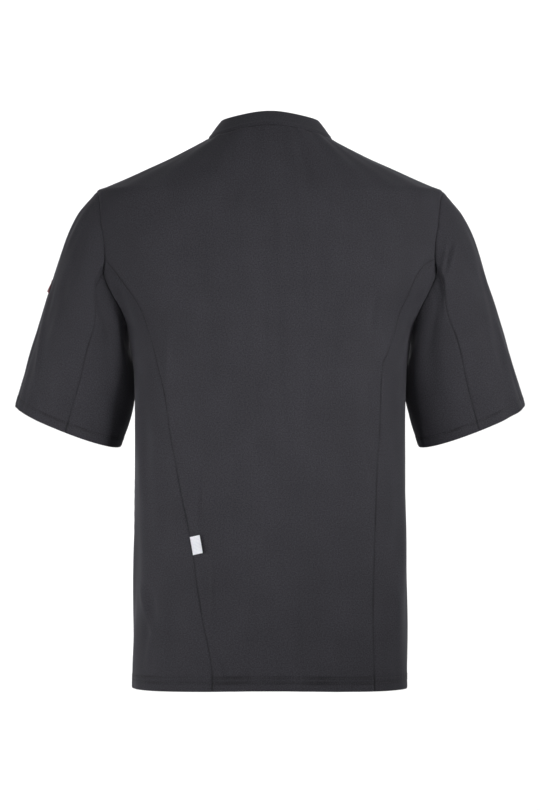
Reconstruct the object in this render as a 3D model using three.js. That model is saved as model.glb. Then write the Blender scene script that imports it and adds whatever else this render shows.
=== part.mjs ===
// A short-sleeved chef jacket with a stand collar, hollow as when it is worn, with nobody in it.
// Millimetres. +Z is up, the back faces +Y and the front -Y, so +X is the wearer's left.
// The origin lies on the body's middle line, at the height where the shoulders meet the neck.
import * as THREE from "three";

// Thicknesses of the walls, the gap at a seam, the longest mitre for each mm of wall, and how deep
// the turned hem and cuffs are and how much thicker
const CLOTH = 1.4;
const COLLAR_CLOTH = 2.2;
const SEAM_GAP = 0.3;
const MITRE_LIMIT = 1.7;
const HEM_TURN = 18;
const CUFF_TURN = 14;
const HEM_EXTRA = 0.9;

// Heights of the body's rings at the hem, the neck seam and the shoulder tips, where the back seam of
// the body and that of the sleeve meet the armhole, at the underarm, and where a front's rows tighten
const HEM_Z = -732;
const NECK_Z = -1;
const SHOULDER_TIP_Z = -69;
const JUNCTION_Z = -162;
const SLEEVE_SEAM_TOP_Z = -180;
const UNDERARM_Z = -264;
const FRONT_EDGE_SPLIT = -300;

// The side and shoulder seams run a little in front of the widest line
const SIDE_SEAM_ANGLE = THREE.MathUtils.degToRad(96);
const SHOULDER_SEAM_ANGLE = THREE.MathUtils.degToRad(95);

// The left front laps outside and stands off there. This fades between two distances from the middle.
const LAP_FADE_START = 26;
const LAP_FADE_END = 58;
const LAP_CLEAR = 0.8;
const COLLAR_END_GAP = 3;

// Seven press stud caps down the middle, a tag in the left back seam and a tab on the left sleeve
const STUD = { count: 7, top: -116, bottom: -655, radius: 6.2, height: 2.2, clear: 0.45, sides: 14 };
const SEAM_TAG = { middleZ: -540, length: 26, width: 14.5, cloth: 0.9, clear: 0.35, lift: 1.4 };
const SLEEVE_TAG = { down: 0.455, turn: -8, length: 17, width: 13, cloth: 0.9, clear: 0.4, lift: 4.8 };

// How many steps the grids take along each stretch
const STEPS = {
  low: 18,
  holeBack: 8,
  holeToSleeveSeam: 1,
  holeUnderBack: 6,
  holeUnderFront: 6,
  holeFront: 9,
  shoulder: 5,
  backAcross: 18,
  frontAcross: 8,
  lapAcross: 2,
  sleeveDown: 12,
  collarUp: 3,
  tagAlong: 5,
  tagAcross: 4,
};

// Rings round the body, from hem to neck. side is the ring's height at its widest line, square how
// far it is from an ellipse (2) towards a box, and the lifts raise its middle back and middle front.
const TORSO = smoothTable(
  ["side", "half", "back", "front", "square", "backLift", "frontLift"],
  [
    [HEM_Z, 183.4, 119, 112, 2.75, 3, 3],
    [-650, 182.9, 118, 113, 2.7, 1, 1],
    [-560, 182.6, 113, 113, 2.6, 0, 0],
    [-460, 181.4, 106, 113, 2.55, 0, 0],
    [-390, 180.8, 105, 116, 2.5, 0, 0],
    [-344, 181.0, 107, 119, 2.5, 0, 0],
    [-311, 182.0, 109, 121, 2.5, 0, 0],
    [-279, 186.3, 111, 121, 2.45, 0, 0],
    [-250, 193.5, 112, 120, 2.4, 0, 0],
    [-228, 208, 112, 119, 2.4, 0, -1],
    [-204, 229, 112, 118, 2.4, 0, -3],
    [-177, 243, 112, 116, 2.4, 0, -8],
    [JUNCTION_Z, 247, 112, 115, 2.4, 0, -12],
    [-140, 249, 111, 113, 2.4, -1, -20],
    [-118, 248.5, 109, 111, 2.35, -3, -31],
    [-98, 245, 106.5, 108.5, 2.3, -5, -42],
    [-82, 239, 103.5, 105.5, 2.28, -6, -50],
    [SHOULDER_TIP_Z, 231, 101, 103, 2.25, -6, -56],
    [-62.5, 215.8, 99, 100.5, 2.23, -5.5, -59],
    [-53.5, 194.8, 96, 96, 2.2, -4, -63],
    [-40, 164.8, 91, 88, 2.15, 0, -68],
    [-26.7, 134.6, 85, 79, 2.1, 5, -72],
    [-13.3, 107.6, 78, 70, 2.1, 11, -75],
    [NECK_Z, 84, 71, 62, 2.1, 15.7, -77],
  ],
);

// Seams on the back: how far each lies from the middle at each height
const BACK_SEAM_LEFT = smoothTable(
  ["side", "out"],
  [
    [HEM_Z, 75.2],
    [-708, 75.7],
    [-688, 77.7],
    [-669, 81.5],
    [-645, 86.7],
    [-597, 94.6],
    [-555, 99.8],
    [-505, 109.2],
    [-453, 120.1],
    [-390, 131],
    [-345, 137],
    [-300, 148],
    [-266, 157],
    [-225, 172],
    [-190, 196],
    [JUNCTION_Z, 218],
  ],
);
const BACK_SEAM_RIGHT = smoothTable(
  ["side", "out"],
  [
    [HEM_Z, 137],
    [-640, 135.5],
    [-540, 137.5],
    [-436, 142],
    [-382, 145],
    [-325, 147],
    [-300, 148.5],
    [-288, 154.5],
    [-262, 163],
    [-232, 171],
    [-211, 181],
    [-185, 192.5],
    [-171, 203],
    [JUNCTION_Z, 218],
  ],
);

// The armhole on the body's rings, back and front, from the underarm up to the shoulder
const ARMHOLE_BACK = smoothTable(
  ["side", "out"],
  [
    [UNDERARM_Z, 189.6],
    [-250, 191.5],
    [-228, 199],
    [-205, 211],
    [-193, 217.5],
    [-180, 225.5],
    [-170, 224],
    [JUNCTION_Z, 218],
    [-140, 219],
    [-118, 222.5],
    [-80, 227.5],
    [SHOULDER_TIP_Z, 231.5],
  ],
);
const ARMHOLE_FRONT = smoothTable(
  ["side", "out"],
  [
    [UNDERARM_Z, 189.6],
    [-250, 188.5],
    [-228, 189],
    [-200, 191],
    [-170, 196],
    [-140, 204],
    [-110, 213],
    [-85, 222],
    [SHOULDER_TIP_Z, 231.5],
  ],
);

// Rings down the sleeve, from armhole to cuff. Each runs between an outer and an inner point, with
// its middle at fore (negative is forward), and reaches back and front of it. Its inner point lies
// forward of its outer one by lean, so that the sleeve hangs just clear of the body, and its back sinks
// by drop.
const SLEEVE = smoothTable(
  ["down", "outX", "outZ", "inX", "inZ", "fore", "lean", "back", "front", "drop"],
  [
    [0, 231.5, -69, 189.6, -264, 2, 0, 64, 78, 0],
    [0.06, 244.5, -84, 190, -273, 2, 2, 66, 77, 0],
    [0.12, 257, -100, 189.5, -282, 1, 5, 68, 76, 0],
    [0.25, 274.5, -135.5, 184.6, -302, -1, 15, 70, 70, 2],
    [0.45, 293, -194, 180.6, -334, -4, 26, 72, 61, 4],
    [0.7, 315, -263, 187.2, -368, -8, 25, 68, 56, 7],
    [1, 342, -355, 200, -410, -13, 18, 62, 52, 10],
  ],
);
const SLEEVE_SQUARE = 2.15;
const CAP_BLEND = 0.4;

// Where the sleeve seams lie, in degrees round it: the back ones and the front one at the cuff, and
// the front one at the armhole
const CUFF_SEAM = { left: 89, right: 84, front: 248 };
const FRONT_SLEEVE_SEAM = 250;

// The collar's top edge
const COLLAR_TOP = { half: 64.5, back: 49, front: 58, square: 2.1, z: 26.5, backLift: 9.3, frontLift: -76 };
const COLLAR_BELLY = 0.8;

// The largest soft folds. Each runs from a top to a bottom point, as degrees round and height on the
// body or share down the sleeve, and rises by height over a half width of width.
const FOLD_COLUMNS = ["topAngle", "top", "bottomAngle", "bottom", "width", "height"];
const BODY_FOLDS = foldTable([
  [52, -470, 58, -716, 16, 3.2],
  [66, -250, 57, -520, 22, 2.0],
  [80, -380, 78, -700, 20, -2.4],
  [24, -420, 22, -716, 30, -3.2],
  [38, -470, 36, -640, 15, 2.2],
  [2, -300, -4, -700, 46, 2.0],
  [-24, -500, -27, -716, 32, -2.6],
  [-46, -230, -54, -470, 18, 2.2],
  [-62, -280, -54, -420, 14, -1.8],
  [-76, -400, -74, -716, 20, 2.0],
  [60, -140, 50, -290, 24, 1.6],
  [-60, -140, -48, -300, 24, 1.6],
  [112, -300, 120, -600, 24, 2.6],
  [134, -330, 132, -716, 26, -3.0],
  [150, -230, 154, -560, 24, 2.2],
  [-112, -290, -122, -620, 24, 2.6],
  [-136, -340, -132, -716, 26, -3.0],
  [-152, -240, -154, -560, 24, 2.2],
  [-100, -420, -102, -700, 22, -2.2],
  [104, -150, 128, -300, 20, 2.6],
  [-104, -150, -128, -300, 20, 2.6],
]);
const SLEEVE_FOLDS = foldTable([
  [62, 0.08, 58, 0.85, 16, 2.0],
  [112, 0.06, 118, 0.7, 13, -2.4],
  [140, 0.02, 134, 0.55, 12, 2.4],
  [30, 0.25, 34, 0.98, 20, -1.6],
  [-48, 0.15, -40, 0.9, 18, 2.2],
  [-78, 0.1, -74, 0.8, 14, -2.2],
  [-128, 0.02, -120, 0.6, 12, 2.2],
]);

const MATERIALS = {
  body: cloth(0x3a393e, 0.86),
  side: cloth(0x38373c, 0.86),
  sleeve: cloth(0x39383d, 0.86),
  collar: cloth(0x3b3a3f, 0.84),
  stud: new THREE.MeshStandardMaterial({ color: 0x2c2b2f, roughness: 0.45, metalness: 0 }),
  whiteTag: cloth(0xe6e8f0, 0.7),
  redTag: cloth(0x8c1f2a, 0.7),
};

function cloth(color, roughness) {
  return new THREE.MeshStandardMaterial({ color, roughness, metalness: 0 });
}

// Turns rows into one smooth function a column, of the first column. Each passes through its rows
// and never swings past them.
function smoothTable(columns, rows) {
  const at = rows.map((row) => row[0]);
  const made = {};
  columns.slice(1).forEach((name, index) => {
    const value = rows.map((row) => row[index + 1]);
    const chord = at.slice(1).map((x, i) => (value[i + 1] - value[i]) / (x - at[i]));
    const slope = value.map((_, i) => {
      const [before, after] = [chord[Math.max(i - 1, 0)], chord[Math.min(i, chord.length - 1)]];
      return before * after > 0 ? (2 * before * after) / (before + after) : 0;
    });
    made[name] = (x) => {
      let i = 0;
      while (i < at.length - 2 && x > at[i + 1]) i += 1;
      const step = at[i + 1] - at[i];
      const u = THREE.MathUtils.clamp((x - at[i]) / step, 0, 1);
      return (
        value[i] * (1 + 2 * u) * (1 - u) ** 2 +
        value[i + 1] * u * u * (3 - 2 * u) +
        step * (slope[i] * u * (1 - u) ** 2 - slope[i + 1] * u * u * (1 - u))
      );
    };
  });
  return made;
}

function foldTable(rows) {
  return rows.map((row) => {
    const fold = Object.fromEntries(FOLD_COLUMNS.map((name, i) => [name, row[i]]));
    fold.topAngle = THREE.MathUtils.degToRad(fold.topAngle);
    fold.bottomAngle = THREE.MathUtils.degToRad(fold.bottomAngle);
    return fold;
  });
}

function smooth(u) {
  const v = THREE.MathUtils.clamp(u, 0, 1);
  return v * v * (3 - 2 * v);
}

function mix(a, b, u) {
  return a + (b - a) * u;
}

function steps(count, from, to) {
  return Array.from({ length: count + 1 }, (_, i) => mix(from, to, i / count));
}

// How far folds push the cloth out at an angle and place, where the surface lies radius from its axis
function foldHeight(folds, angle, place, radius) {
  let sum = 0;
  for (const fold of folds) {
    const u = (place - fold.top) / (fold.bottom - fold.top);
    if (u <= 0 || u >= 1) continue;
    const turn = angle - mix(fold.topAngle, fold.bottomAngle, u);
    const off = (Math.atan2(Math.sin(turn), Math.cos(turn)) * radius) / fold.width;
    sum += fold.height * Math.sin(Math.PI * u) * Math.exp(-off * off);
  }
  return sum;
}

// The radius of a squared ellipse at an angle from its second axis
function squareRadius(angle, half, depth, square) {
  const across = Math.abs(Math.sin(angle) / half) ** square;
  const along = Math.abs(Math.cos(angle) / depth) ** square;
  return (across + along) ** (-1 / square);
}

// A point on the body without its folds. angle is 0 at the middle back and a quarter turn at the
// wearer's left.
function plainBody(angle, side) {
  const c = Math.cos(angle);
  const depth = c > 0 ? TORSO.back(side) : TORSO.front(side);
  const lift = c > 0 ? TORSO.backLift(side) : TORSO.frontLift(side);
  const radius = squareRadius(angle, TORSO.half(side), depth, TORSO.square(side));
  return new THREE.Vector3(radius * Math.sin(angle), radius * c, side + lift * c * c);
}

// The outward normal of a surface of two parameters, from its slopes. Both surfaces here have their
// outside on the side of second slope by first slope.
function normalOf(surface, first, second, firstStep, secondStep) {
  const alongFirst = surface(first + firstStep, second).sub(surface(first - firstStep, second));
  const alongSecond = surface(first, second + secondStep).sub(surface(first, second - secondStep));
  return alongSecond.cross(alongFirst).normalize();
}

// The lap is as wide as two steps of the neck seam, so that the collar meets it point for point
const NECK_LAP_ANGLE = ((Math.PI - SHOULDER_SEAM_ANGLE) / STEPS.frontAcross) * STEPS.lapAcross;
const LAP = TORSO.front(NECK_Z) * Math.tan(NECK_LAP_ANGLE);
const BODY_STEP = { angle: 0.004, side: 0.5 };

// The body's outer surface, with its folds
function body(angle, side) {
  const point = plainBody(angle, side);
  const radius = Math.hypot(point.x, point.y);
  const height = foldHeight(BODY_FOLDS, angle, side, radius);
  const normal = normalOf(plainBody, angle, side, BODY_STEP.angle, BODY_STEP.side);
  return point.addScaledVector(normal, height);
}

function bodyNormal(angle, side) {
  const inside = Math.min(side, NECK_Z - BODY_STEP.side);
  return normalOf(body, angle, inside, BODY_STEP.angle, BODY_STEP.side);
}

// The angle at which a body ring is out from the middle, on its back (1) or its front (-1)
function angleAt(out, side, face) {
  const square = TORSO.square(side);
  const depth = face > 0 ? TORSO.back(side) : TORSO.front(side);
  const share = Math.min(1, Math.abs(out) / TORSO.half(side)) ** square;
  return Math.atan2(out, face * depth * (1 - share) ** (1 / square));
}

// The armhole as a closed line on the body, by the share of its length from the shoulder's top over
// the back, in degrees
const ARMHOLE = measureArmhole();

function measureArmhole() {
  const samples = 160;
  const line = [];
  const drop = SHOULDER_TIP_Z - UNDERARM_Z;
  for (let i = 0; i <= samples; i += 1) {
    const side = SHOULDER_TIP_Z - (drop * (1 - Math.cos((Math.PI * i) / samples))) / 2;
    line.push({ side, angle: angleAt(ARMHOLE_BACK.out(side), side, 1) });
  }
  for (let i = 1; i <= samples; i += 1) {
    const side = UNDERARM_Z + (drop * (1 - Math.cos((Math.PI * i) / samples))) / 2;
    line.push({ side, angle: angleAt(ARMHOLE_FRONT.out(side), side, -1) });
  }
  let length = 0;
  let last = null;
  for (const stop of line) {
    const point = plainBody(stop.angle, stop.side);
    length += last ? point.distanceTo(last) : 0;
    stop.along = length;
    last = point;
  }
  for (const stop of line) stop.turn = (360 * stop.along) / length;
  return line;
}

function armholeAt(turn) {
  const wrapped = THREE.MathUtils.euclideanModulo(turn, 360);
  let i = 0;
  while (i < ARMHOLE.length - 2 && wrapped > ARMHOLE[i + 1].turn) i += 1;
  const [a, b] = [ARMHOLE[i], ARMHOLE[i + 1]];
  const u = (wrapped - a.turn) / (b.turn - a.turn);
  return { angle: mix(a.angle, b.angle, u), side: mix(a.side, b.side, u) };
}

// The turn at which the armhole reaches a value of side or angle, between two turns
function turnWhere(key, value, from, to) {
  let [low, high] = [from, to];
  const rising = armholeAt(to)[key] > armholeAt(from)[key];
  for (let i = 0; i < 40; i += 1) {
    const middle = (low + high) / 2;
    if (armholeAt(middle)[key] < value === rising) low = middle;
    else high = middle;
  }
  return (low + high) / 2;
}

const UNDERARM_TURN = turnWhere("angle", SIDE_SEAM_ANGLE, 170, 210);
const SHOULDER_TURN = turnWhere("angle", SHOULDER_SEAM_ANGLE, 330, 359.9) - 360;
const SHOULDER_END_Z = armholeAt(SHOULDER_TURN).side;
const SIDE_SEAM_TOP_Z = armholeAt(UNDERARM_TURN).side;
const JUNCTION_TURN = turnWhere("side", JUNCTION_Z, 20, 150);
const SLEEVE_SEAM_TURN = turnWhere("side", SLEEVE_SEAM_TOP_Z, 20, 150);

// The armhole's stops, shared by the body's pieces and the sleeve, so both sides of the seam have
// the same points
const HOLE = {
  back: steps(STEPS.holeBack, SHOULDER_TURN, JUNCTION_TURN),
  toSleeveSeam: steps(STEPS.holeToSleeveSeam, JUNCTION_TURN, SLEEVE_SEAM_TURN),
  underBack: steps(STEPS.holeUnderBack, SLEEVE_SEAM_TURN, UNDERARM_TURN),
  underFront: steps(STEPS.holeUnderFront, UNDERARM_TURN, FRONT_SLEEVE_SEAM),
  front: steps(STEPS.holeFront, FRONT_SLEEVE_SEAM, SHOULDER_TURN + 360),
};

// A point of the plain sleeve ring, which is a squared ellipse in its own tilted plane
function sleeveRing(turn, down, hand) {
  const angle = THREE.MathUtils.degToRad(turn);
  const [c, s] = [Math.cos(angle), Math.sin(angle)];
  const round = squareRadius(angle, 1, 1, SLEEVE_SQUARE);
  const reach = s > 0 ? SLEEVE.back(down) : SLEEVE.front(down);
  const share = (1 + c * round) / 2;
  const x = mix(SLEEVE.inX(down), SLEEVE.outX(down), share);
  const z = mix(SLEEVE.inZ(down), SLEEVE.outZ(down), share);
  const y = SLEEVE.fore(down) - SLEEVE.lean(down) * (1 - share) + s * round * reach;
  return new THREE.Vector3(hand * x, y, z - s * round * SLEEVE.drop(down));
}

// The plain sleeve: its rings, pulled onto the armhole at the top. hand is 1 for the wearer's left.
function plainSleeve(turn, down, hand) {
  const hole = armholeAt(turn);
  const start = body(hand * hole.angle, hole.side).sub(sleeveRing(turn, 0, hand));
  return sleeveRing(turn, down, hand).addScaledVector(start, 1 - smooth(down / CAP_BLEND));
}

function sleeveFor(hand) {
  const step = { turn: 0.4, down: 0.004 };
  const plain = (turn, down) => plainSleeve(turn, Math.max(down, 0), hand);
  const surface = (turn, down) => {
    const radius = SLEEVE.back(Math.max(down, 0));
    const height = foldHeight(SLEEVE_FOLDS, THREE.MathUtils.degToRad(turn), down, radius);
    const normal = normalOf(plain, turn, down, step.turn, step.down).multiplyScalar(hand);
    return plain(turn, down).addScaledVector(normal, height);
  };
  const normal = (turn, down) =>
    normalOf(surface, turn, Math.max(down, step.down), step.turn, step.down).multiplyScalar(hand);
  return { surface, normal };
}

const SLEEVES = { 1: sleeveFor(1), [-1]: sleeveFor(-1) };

// The collar, from its seam (0) to its top edge (1)
function collar(angle, up) {
  const c = Math.cos(angle);
  const seam = body(angle, NECK_Z);
  const depth = c > 0 ? COLLAR_TOP.back : COLLAR_TOP.front;
  const lift = c > 0 ? COLLAR_TOP.backLift : COLLAR_TOP.frontLift;
  const radius = squareRadius(angle, COLLAR_TOP.half, depth, COLLAR_TOP.square);
  const top = new THREE.Vector3(radius * Math.sin(angle), radius * c, COLLAR_TOP.z + lift * c * c);
  const out = new THREE.Vector3(Math.sin(angle), c, 0);
  return seam.lerp(top, up).addScaledVector(out, COLLAR_BELLY * Math.sin(Math.PI * up));
}

function collarNormal(angle, up) {
  return normalOf(collar, angle, up, BODY_STEP.angle, 0.02);
}

// Where two surfaces meet at a seam, the way out of the wall along the mitre between them, with its
// length for cloth 1 thick
function mitreWay(before, after, firstNormal, secondNormal) {
  const along = after.clone().sub(before).normalize();
  const way = firstNormal.clone().add(secondNormal);
  way.addScaledVector(along, -way.dot(along)).normalize();
  return way.divideScalar(Math.max(way.dot(firstNormal), 1 / MITRE_LIMIT));
}

function armholeMitre(turn, hand) {
  const point = (t) => {
    const hole = armholeAt(t);
    return body(hand * hole.angle, hole.side);
  };
  const hole = armholeAt(turn);
  const first = bodyNormal(hand * hole.angle, hole.side);
  return mitreWay(point(turn - 0.5), point(turn + 0.5), first, SLEEVES[hand].normal(turn, 0.01));
}

function neckMitre(angle) {
  const step = BODY_STEP.angle;
  const [before, after] = [body(angle - step, NECK_Z), body(angle + step, NECK_Z)];
  return mitreWay(before, after, bodyNormal(angle, NECK_Z), collarNormal(angle, 0.03));
}

// A wall of cloth over a grid of columns and rows. point and normal give its outside at a column and
// row, mitre the way out of the wall on a mitred seam or nothing, thick its thickness, and inset how
// far each edge is drawn in: the first row, the last column, the last row, the first column.
function wall({ columns, rows, point, normal, mitre, thick, inset }) {
  const index = (i, j) => j * (columns + 1) + i;
  const places = [];
  for (let j = 0; j <= rows; j += 1) {
    for (let i = 0; i <= columns; i += 1) places.push([i, j]);
  }
  const base = places.map(([i, j]) => point(i, j));
  const outer = base.map((p) => p.clone());
  const loop = rimLoop(columns, rows, inset);
  const edges = loop.map((here, k) => {
    const next = loop[(k + 1) % loop.length];
    const along = base[index(next.i, next.j)].clone().sub(base[index(here.i, here.j)]).normalize();
    return { along, inset: here.inset, mitred: mitre(here.i, here.j) && mitre(next.i, next.j) };
  });
  const ways = (here, k) => {
    const pair = [edges[(k + loop.length - 1) % loop.length], edges[k]];
    return pair.map((edge) => {
      const up = edge.mitred ? mitre(here.i, here.j) : normal(here.i, here.j);
      return { way: up.clone().cross(edge.along).normalize(), inset: edge.inset };
    });
  };
  const inward = ({ i, j }) => {
    const [x, y] = [THREE.MathUtils.clamp(i, 1, columns - 1), THREE.MathUtils.clamp(j, 1, rows - 1)];
    return base[index(x, y)].clone().sub(base[index(i, j)]);
  };
  const votes = loop.map((here, k) => Math.sign(ways(here, k)[1].way.dot(inward(here))));
  const turn = Math.sign(votes.reduce((sum, vote) => sum + vote, 0));
  loop.forEach((here, k) => {
    const [a, b] = ways(here, k);
    outer[index(here.i, here.j)].addScaledVector(cornerShift(a, b), turn);
  });
  const inner = places.map(([i, j], k) => {
    const up = mitre(i, j) ?? normal(i, j);
    return outer[k].clone().addScaledVector(up, -thick(i, j));
  });
  return solid([...outer, ...inner], wallFaces(columns, rows, index, loop, [...outer, ...inner]));
}

// The move that takes a rim point off both its edges by their insets
function cornerShift(a, b) {
  const c = a.way.dot(b.way);
  if (c > 0.97) return a.way.clone().add(b.way).normalize().multiplyScalar(Math.max(a.inset, b.inset));
  const share = 1 - c * c;
  const shift = a.way.clone().multiplyScalar((a.inset - c * b.inset) / share);
  return shift.addScaledVector(b.way, (b.inset - c * a.inset) / share);
}

// The grid's edge points in order, each with the inset of the edge that leaves it
function rimLoop(columns, rows, inset) {
  const loop = [];
  for (let i = 0; i < columns; i += 1) loop.push({ i, j: 0, inset: inset[0] });
  for (let j = 0; j < rows; j += 1) loop.push({ i: columns, j, inset: inset[1] });
  for (let i = columns; i > 0; i -= 1) loop.push({ i, j: rows, inset: inset[2] });
  for (let j = rows; j > 0; j -= 1) loop.push({ i: 0, j, inset: inset[3] });
  return loop;
}

// Each edge face is cut along its shorter diagonal, so that twisted ones fit across a seam
function wallFaces(columns, rows, index, loop, points) {
  const faces = [];
  const count = (columns + 1) * (rows + 1);
  const quad = (a, b, c, d) => faces.push(a, b, c, a, c, d);
  for (let j = 0; j < rows; j += 1) {
    for (let i = 0; i < columns; i += 1) {
      const [a, b, c, d] = [index(i, j), index(i + 1, j), index(i + 1, j + 1), index(i, j + 1)];
      quad(a, b, c, d);
      quad(count + a, count + d, count + c, count + b);
    }
  }
  loop.forEach((here, k) => {
    const next = loop[(k + 1) % loop.length];
    const [a, b] = [index(here.i, here.j), index(next.i, next.j)];
    const across = points[b].distanceTo(points[count + a]) - points[a].distanceTo(points[count + b]);
    if (across < 0) quad(b, a, count + a, count + b);
    else quad(a, count + a, count + b, b);
  });
  return faces;
}

// A closed geometry whose faces point out, whichever way round they were listed
function solid(points, faces) {
  const corners = (k) => faces.slice(k, k + 3).map((n) => points[n]);
  let volume = 0;
  for (let k = 0; k < faces.length; k += 3) {
    const [a, b, c] = corners(k);
    volume += a.dot(b.clone().cross(c));
  }
  const order = volume < 0 ? faces.toReversed() : faces;
  const geometry = new THREE.BufferGeometry().setFromPoints(points);
  geometry.setIndex(order);
  geometry.computeVertexNormals();
  return geometry;
}

// Heights of the rows of a body piece from the hem to top, with the hem's turn at its own rows
function lowStops(top) {
  const bottom = [HEM_Z, HEM_Z + HEM_TURN - 1, HEM_Z + HEM_TURN + 1];
  return [...bottom, ...steps(STEPS.low - 3, HEM_Z + 46, top)];
}

function hemThickness(side) {
  return CLOTH + HEM_EXTRA * (1 - smooth((side - HEM_Z - HEM_TURN + 1) / 2));
}

function seamStops(table, hand) {
  return lowStops(JUNCTION_Z).map((side) => ({ side, angle: hand * angleAt(table.out(side), side, 1) }));
}

function sideStops(hand) {
  return lowStops(SIDE_SEAM_TOP_Z).map((side) => ({ side, angle: hand * SIDE_SEAM_ANGLE }));
}

function holeStops(turns, hand) {
  return turns.map((turn) => {
    const hole = armholeAt(turn);
    const angle = hole.angle < 0 ? hole.angle + 2 * Math.PI : hole.angle;
    return { side: hole.side, angle: hand * angle, turn };
  });
}

function shoulderStops(hand) {
  const angle = hand * SHOULDER_SEAM_ANGLE;
  return steps(STEPS.shoulder, SHOULDER_END_Z, NECK_Z).map((side) => ({ side, angle }));
}

function neckStops(count, from, to) {
  return steps(count, from, to).map((angle) => ({ side: NECK_Z, angle, neck: true }));
}

function hemStops(count, from, to) {
  return steps(count, from, to).map((angle) => ({ side: HEM_Z, angle }));
}

// The stops of two lines, the second starting where the first ends
function join(first, second) {
  return [...first.slice(0, -1), ...second];
}

// A wall over a part of the body between four lines of stops. lift pushes a place out.
function bodyWall({ low, high, first, last, inset, lift = () => 0, hand = 1 }) {
  const [columns, rows] = [low.length - 1, first.length - 1];
  const blend = (key, i, j) => {
    const [u, v] = [i / columns, (j / rows) ** 2];
    const left = first[j][key] - mix(low[0][key], high[0][key], v);
    const right = last[j][key] - mix(low[columns][key], high[columns][key], v);
    return mix(low[i][key], high[i][key], v) + mix(left, right, u);
  };
  const at = (i, j) => ({ angle: blend("angle", i, j), side: blend("side", i, j) });
  const stopAt = (i, j) => {
    const lines = [j === rows && high[i], i === 0 && first[j], i === columns && last[j]];
    return lines.find((stop) => stop && (stop.neck || stop.turn !== undefined));
  };
  const mitre = (i, j) => {
    const stop = stopAt(i, j);
    if (!stop) return null;
    return stop.neck ? neckMitre(stop.angle) : armholeMitre(stop.turn, stop.angle < 0 ? -1 : hand);
  };
  const normal = (i, j) => {
    const { angle, side } = at(i, j);
    return bodyNormal(angle, side);
  };
  const point = (i, j) => {
    const { angle, side } = at(i, j);
    const out = mitre(i, j) ?? normal(i, j);
    return body(angle, side).addScaledVector(out, lift(angle, side));
  };
  const thick = (i, j) => hemThickness(at(i, j).side);
  return wall({ columns, rows, point, normal, mitre, thick, inset });
}

const SEAM_INSET = SEAM_GAP / 2;

function makeBack() {
  const left = join(seamStops(BACK_SEAM_LEFT, 1), holeStops(HOLE.back, 1).reverse());
  const right = join(seamStops(BACK_SEAM_RIGHT, -1), holeStops(HOLE.back, -1).reverse());
  const neck = neckStops(STEPS.backAcross, SHOULDER_SEAM_ANGLE, -SHOULDER_SEAM_ANGLE);
  const high = [...join(shoulderStops(1), neck), ...shoulderStops(-1).reverse().slice(1)];
  const low = hemStops(high.length - 1, left[0].angle, right[0].angle);
  const inset = [0, SEAM_INSET, SEAM_INSET, SEAM_INSET];
  return bodyWall({ low, high, first: left, last: right, inset });
}

function makeSideBack(table, hand) {
  const seam = seamStops(table, hand);
  const side = sideStops(hand);
  const high = holeStops(join(HOLE.toSleeveSeam, HOLE.underBack), hand);
  const low = hemStops(high.length - 1, seam[0].angle, side[0].angle);
  const inset = [0, SEAM_INSET, SEAM_INSET, SEAM_INSET];
  return bodyWall({ low, high, first: seam, last: side, inset, hand });
}

// How far the outer front stands off near the middle, to clear the one beneath
function lapLift(angle, side) {
  const off = plainBody(angle, side).x;
  const share = 1 - smooth((off - LAP_FADE_START) / (LAP_FADE_END - LAP_FADE_START));
  return share * (hemThickness(side) + LAP_CLEAR);
}

function makeFront(hand) {
  const outer = join(sideStops(hand), holeStops(join(HOLE.underFront, HOLE.front), hand));
  const lapAngle = (side) => Math.atan(LAP / TORSO.front(side));
  const toMiddle = neckStops(STEPS.frontAcross, hand * SHOULDER_SEAM_ANGLE, hand * Math.PI);
  const overMiddle = neckStops(STEPS.lapAcross, hand * Math.PI, hand * (Math.PI + NECK_LAP_ANGLE));
  const high = join(shoulderStops(hand), join(toMiddle, overMiddle));
  const edge = steps(outer.length - STEPS.low - 1, FRONT_EDGE_SPLIT, NECK_Z);
  const middle = join(lowStops(FRONT_EDGE_SPLIT), edge).map((side) => {
    return { side, angle: hand * (Math.PI + lapAngle(side)) };
  });
  const low = hemStops(high.length - 1, outer[0].angle, middle[0].angle);
  const inset = [0, 0, SEAM_INSET, SEAM_INSET];
  const lift = hand > 0 ? lapLift : () => 0;
  return bodyWall({ low, high, first: outer, last: middle, inset, lift, hand });
}

// The sleeve's seams, in degrees round it at a share of its length
function sleeveBackSeam(down, hand) {
  return mix(SLEEVE_SEAM_TURN, hand > 0 ? CUFF_SEAM.left : CUFF_SEAM.right, down);
}

function sleeveFrontSeam(down) {
  return mix(FRONT_SLEEVE_SEAM, CUFF_SEAM.front, down);
}

// A wall over a part of the sleeve. stops run from the back seam to the front seam, over the top when
// back is 360.
function makeSleevePart(stops, back, hand) {
  const { surface, normal } = SLEEVES[hand];
  const [columns, rows] = [stops.length - 1, STEPS.sleeveDown + 3];
  const turnAt = (i, down) => {
    const share = (stops[i] - stops[0]) / (stops[columns] - stops[0]);
    return mix(sleeveBackSeam(down, hand), sleeveFrontSeam(down) - back, share);
  };
  const downAt = (i, j) => {
    const length = surface(stops[i], 0).distanceTo(surface(stops[i], 1));
    const turned = [(CUFF_TURN + 1) / length, (CUFF_TURN - 1) / length, 0];
    const free = rows - turned.length;
    return j > free ? 1 - turned[j - free - 1] : (j / free) * (1 - 30 / length);
  };
  const place = (i, j) => {
    const down = downAt(i, j);
    return [turnAt(i, down), down];
  };
  const point = (i, j) => surface(...place(i, j));
  return wall({
    columns,
    rows,
    point,
    normal: (i, j) => normal(...place(i, j)),
    mitre: (i, j) => (j === 0 ? armholeMitre(stops[i], hand) : null),
    thick: (i, j) => CLOTH + (j > rows - 2 ? HEM_EXTRA : 0),
    inset: [SEAM_INSET, SEAM_INSET, 0, SEAM_INSET],
  });
}

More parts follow.
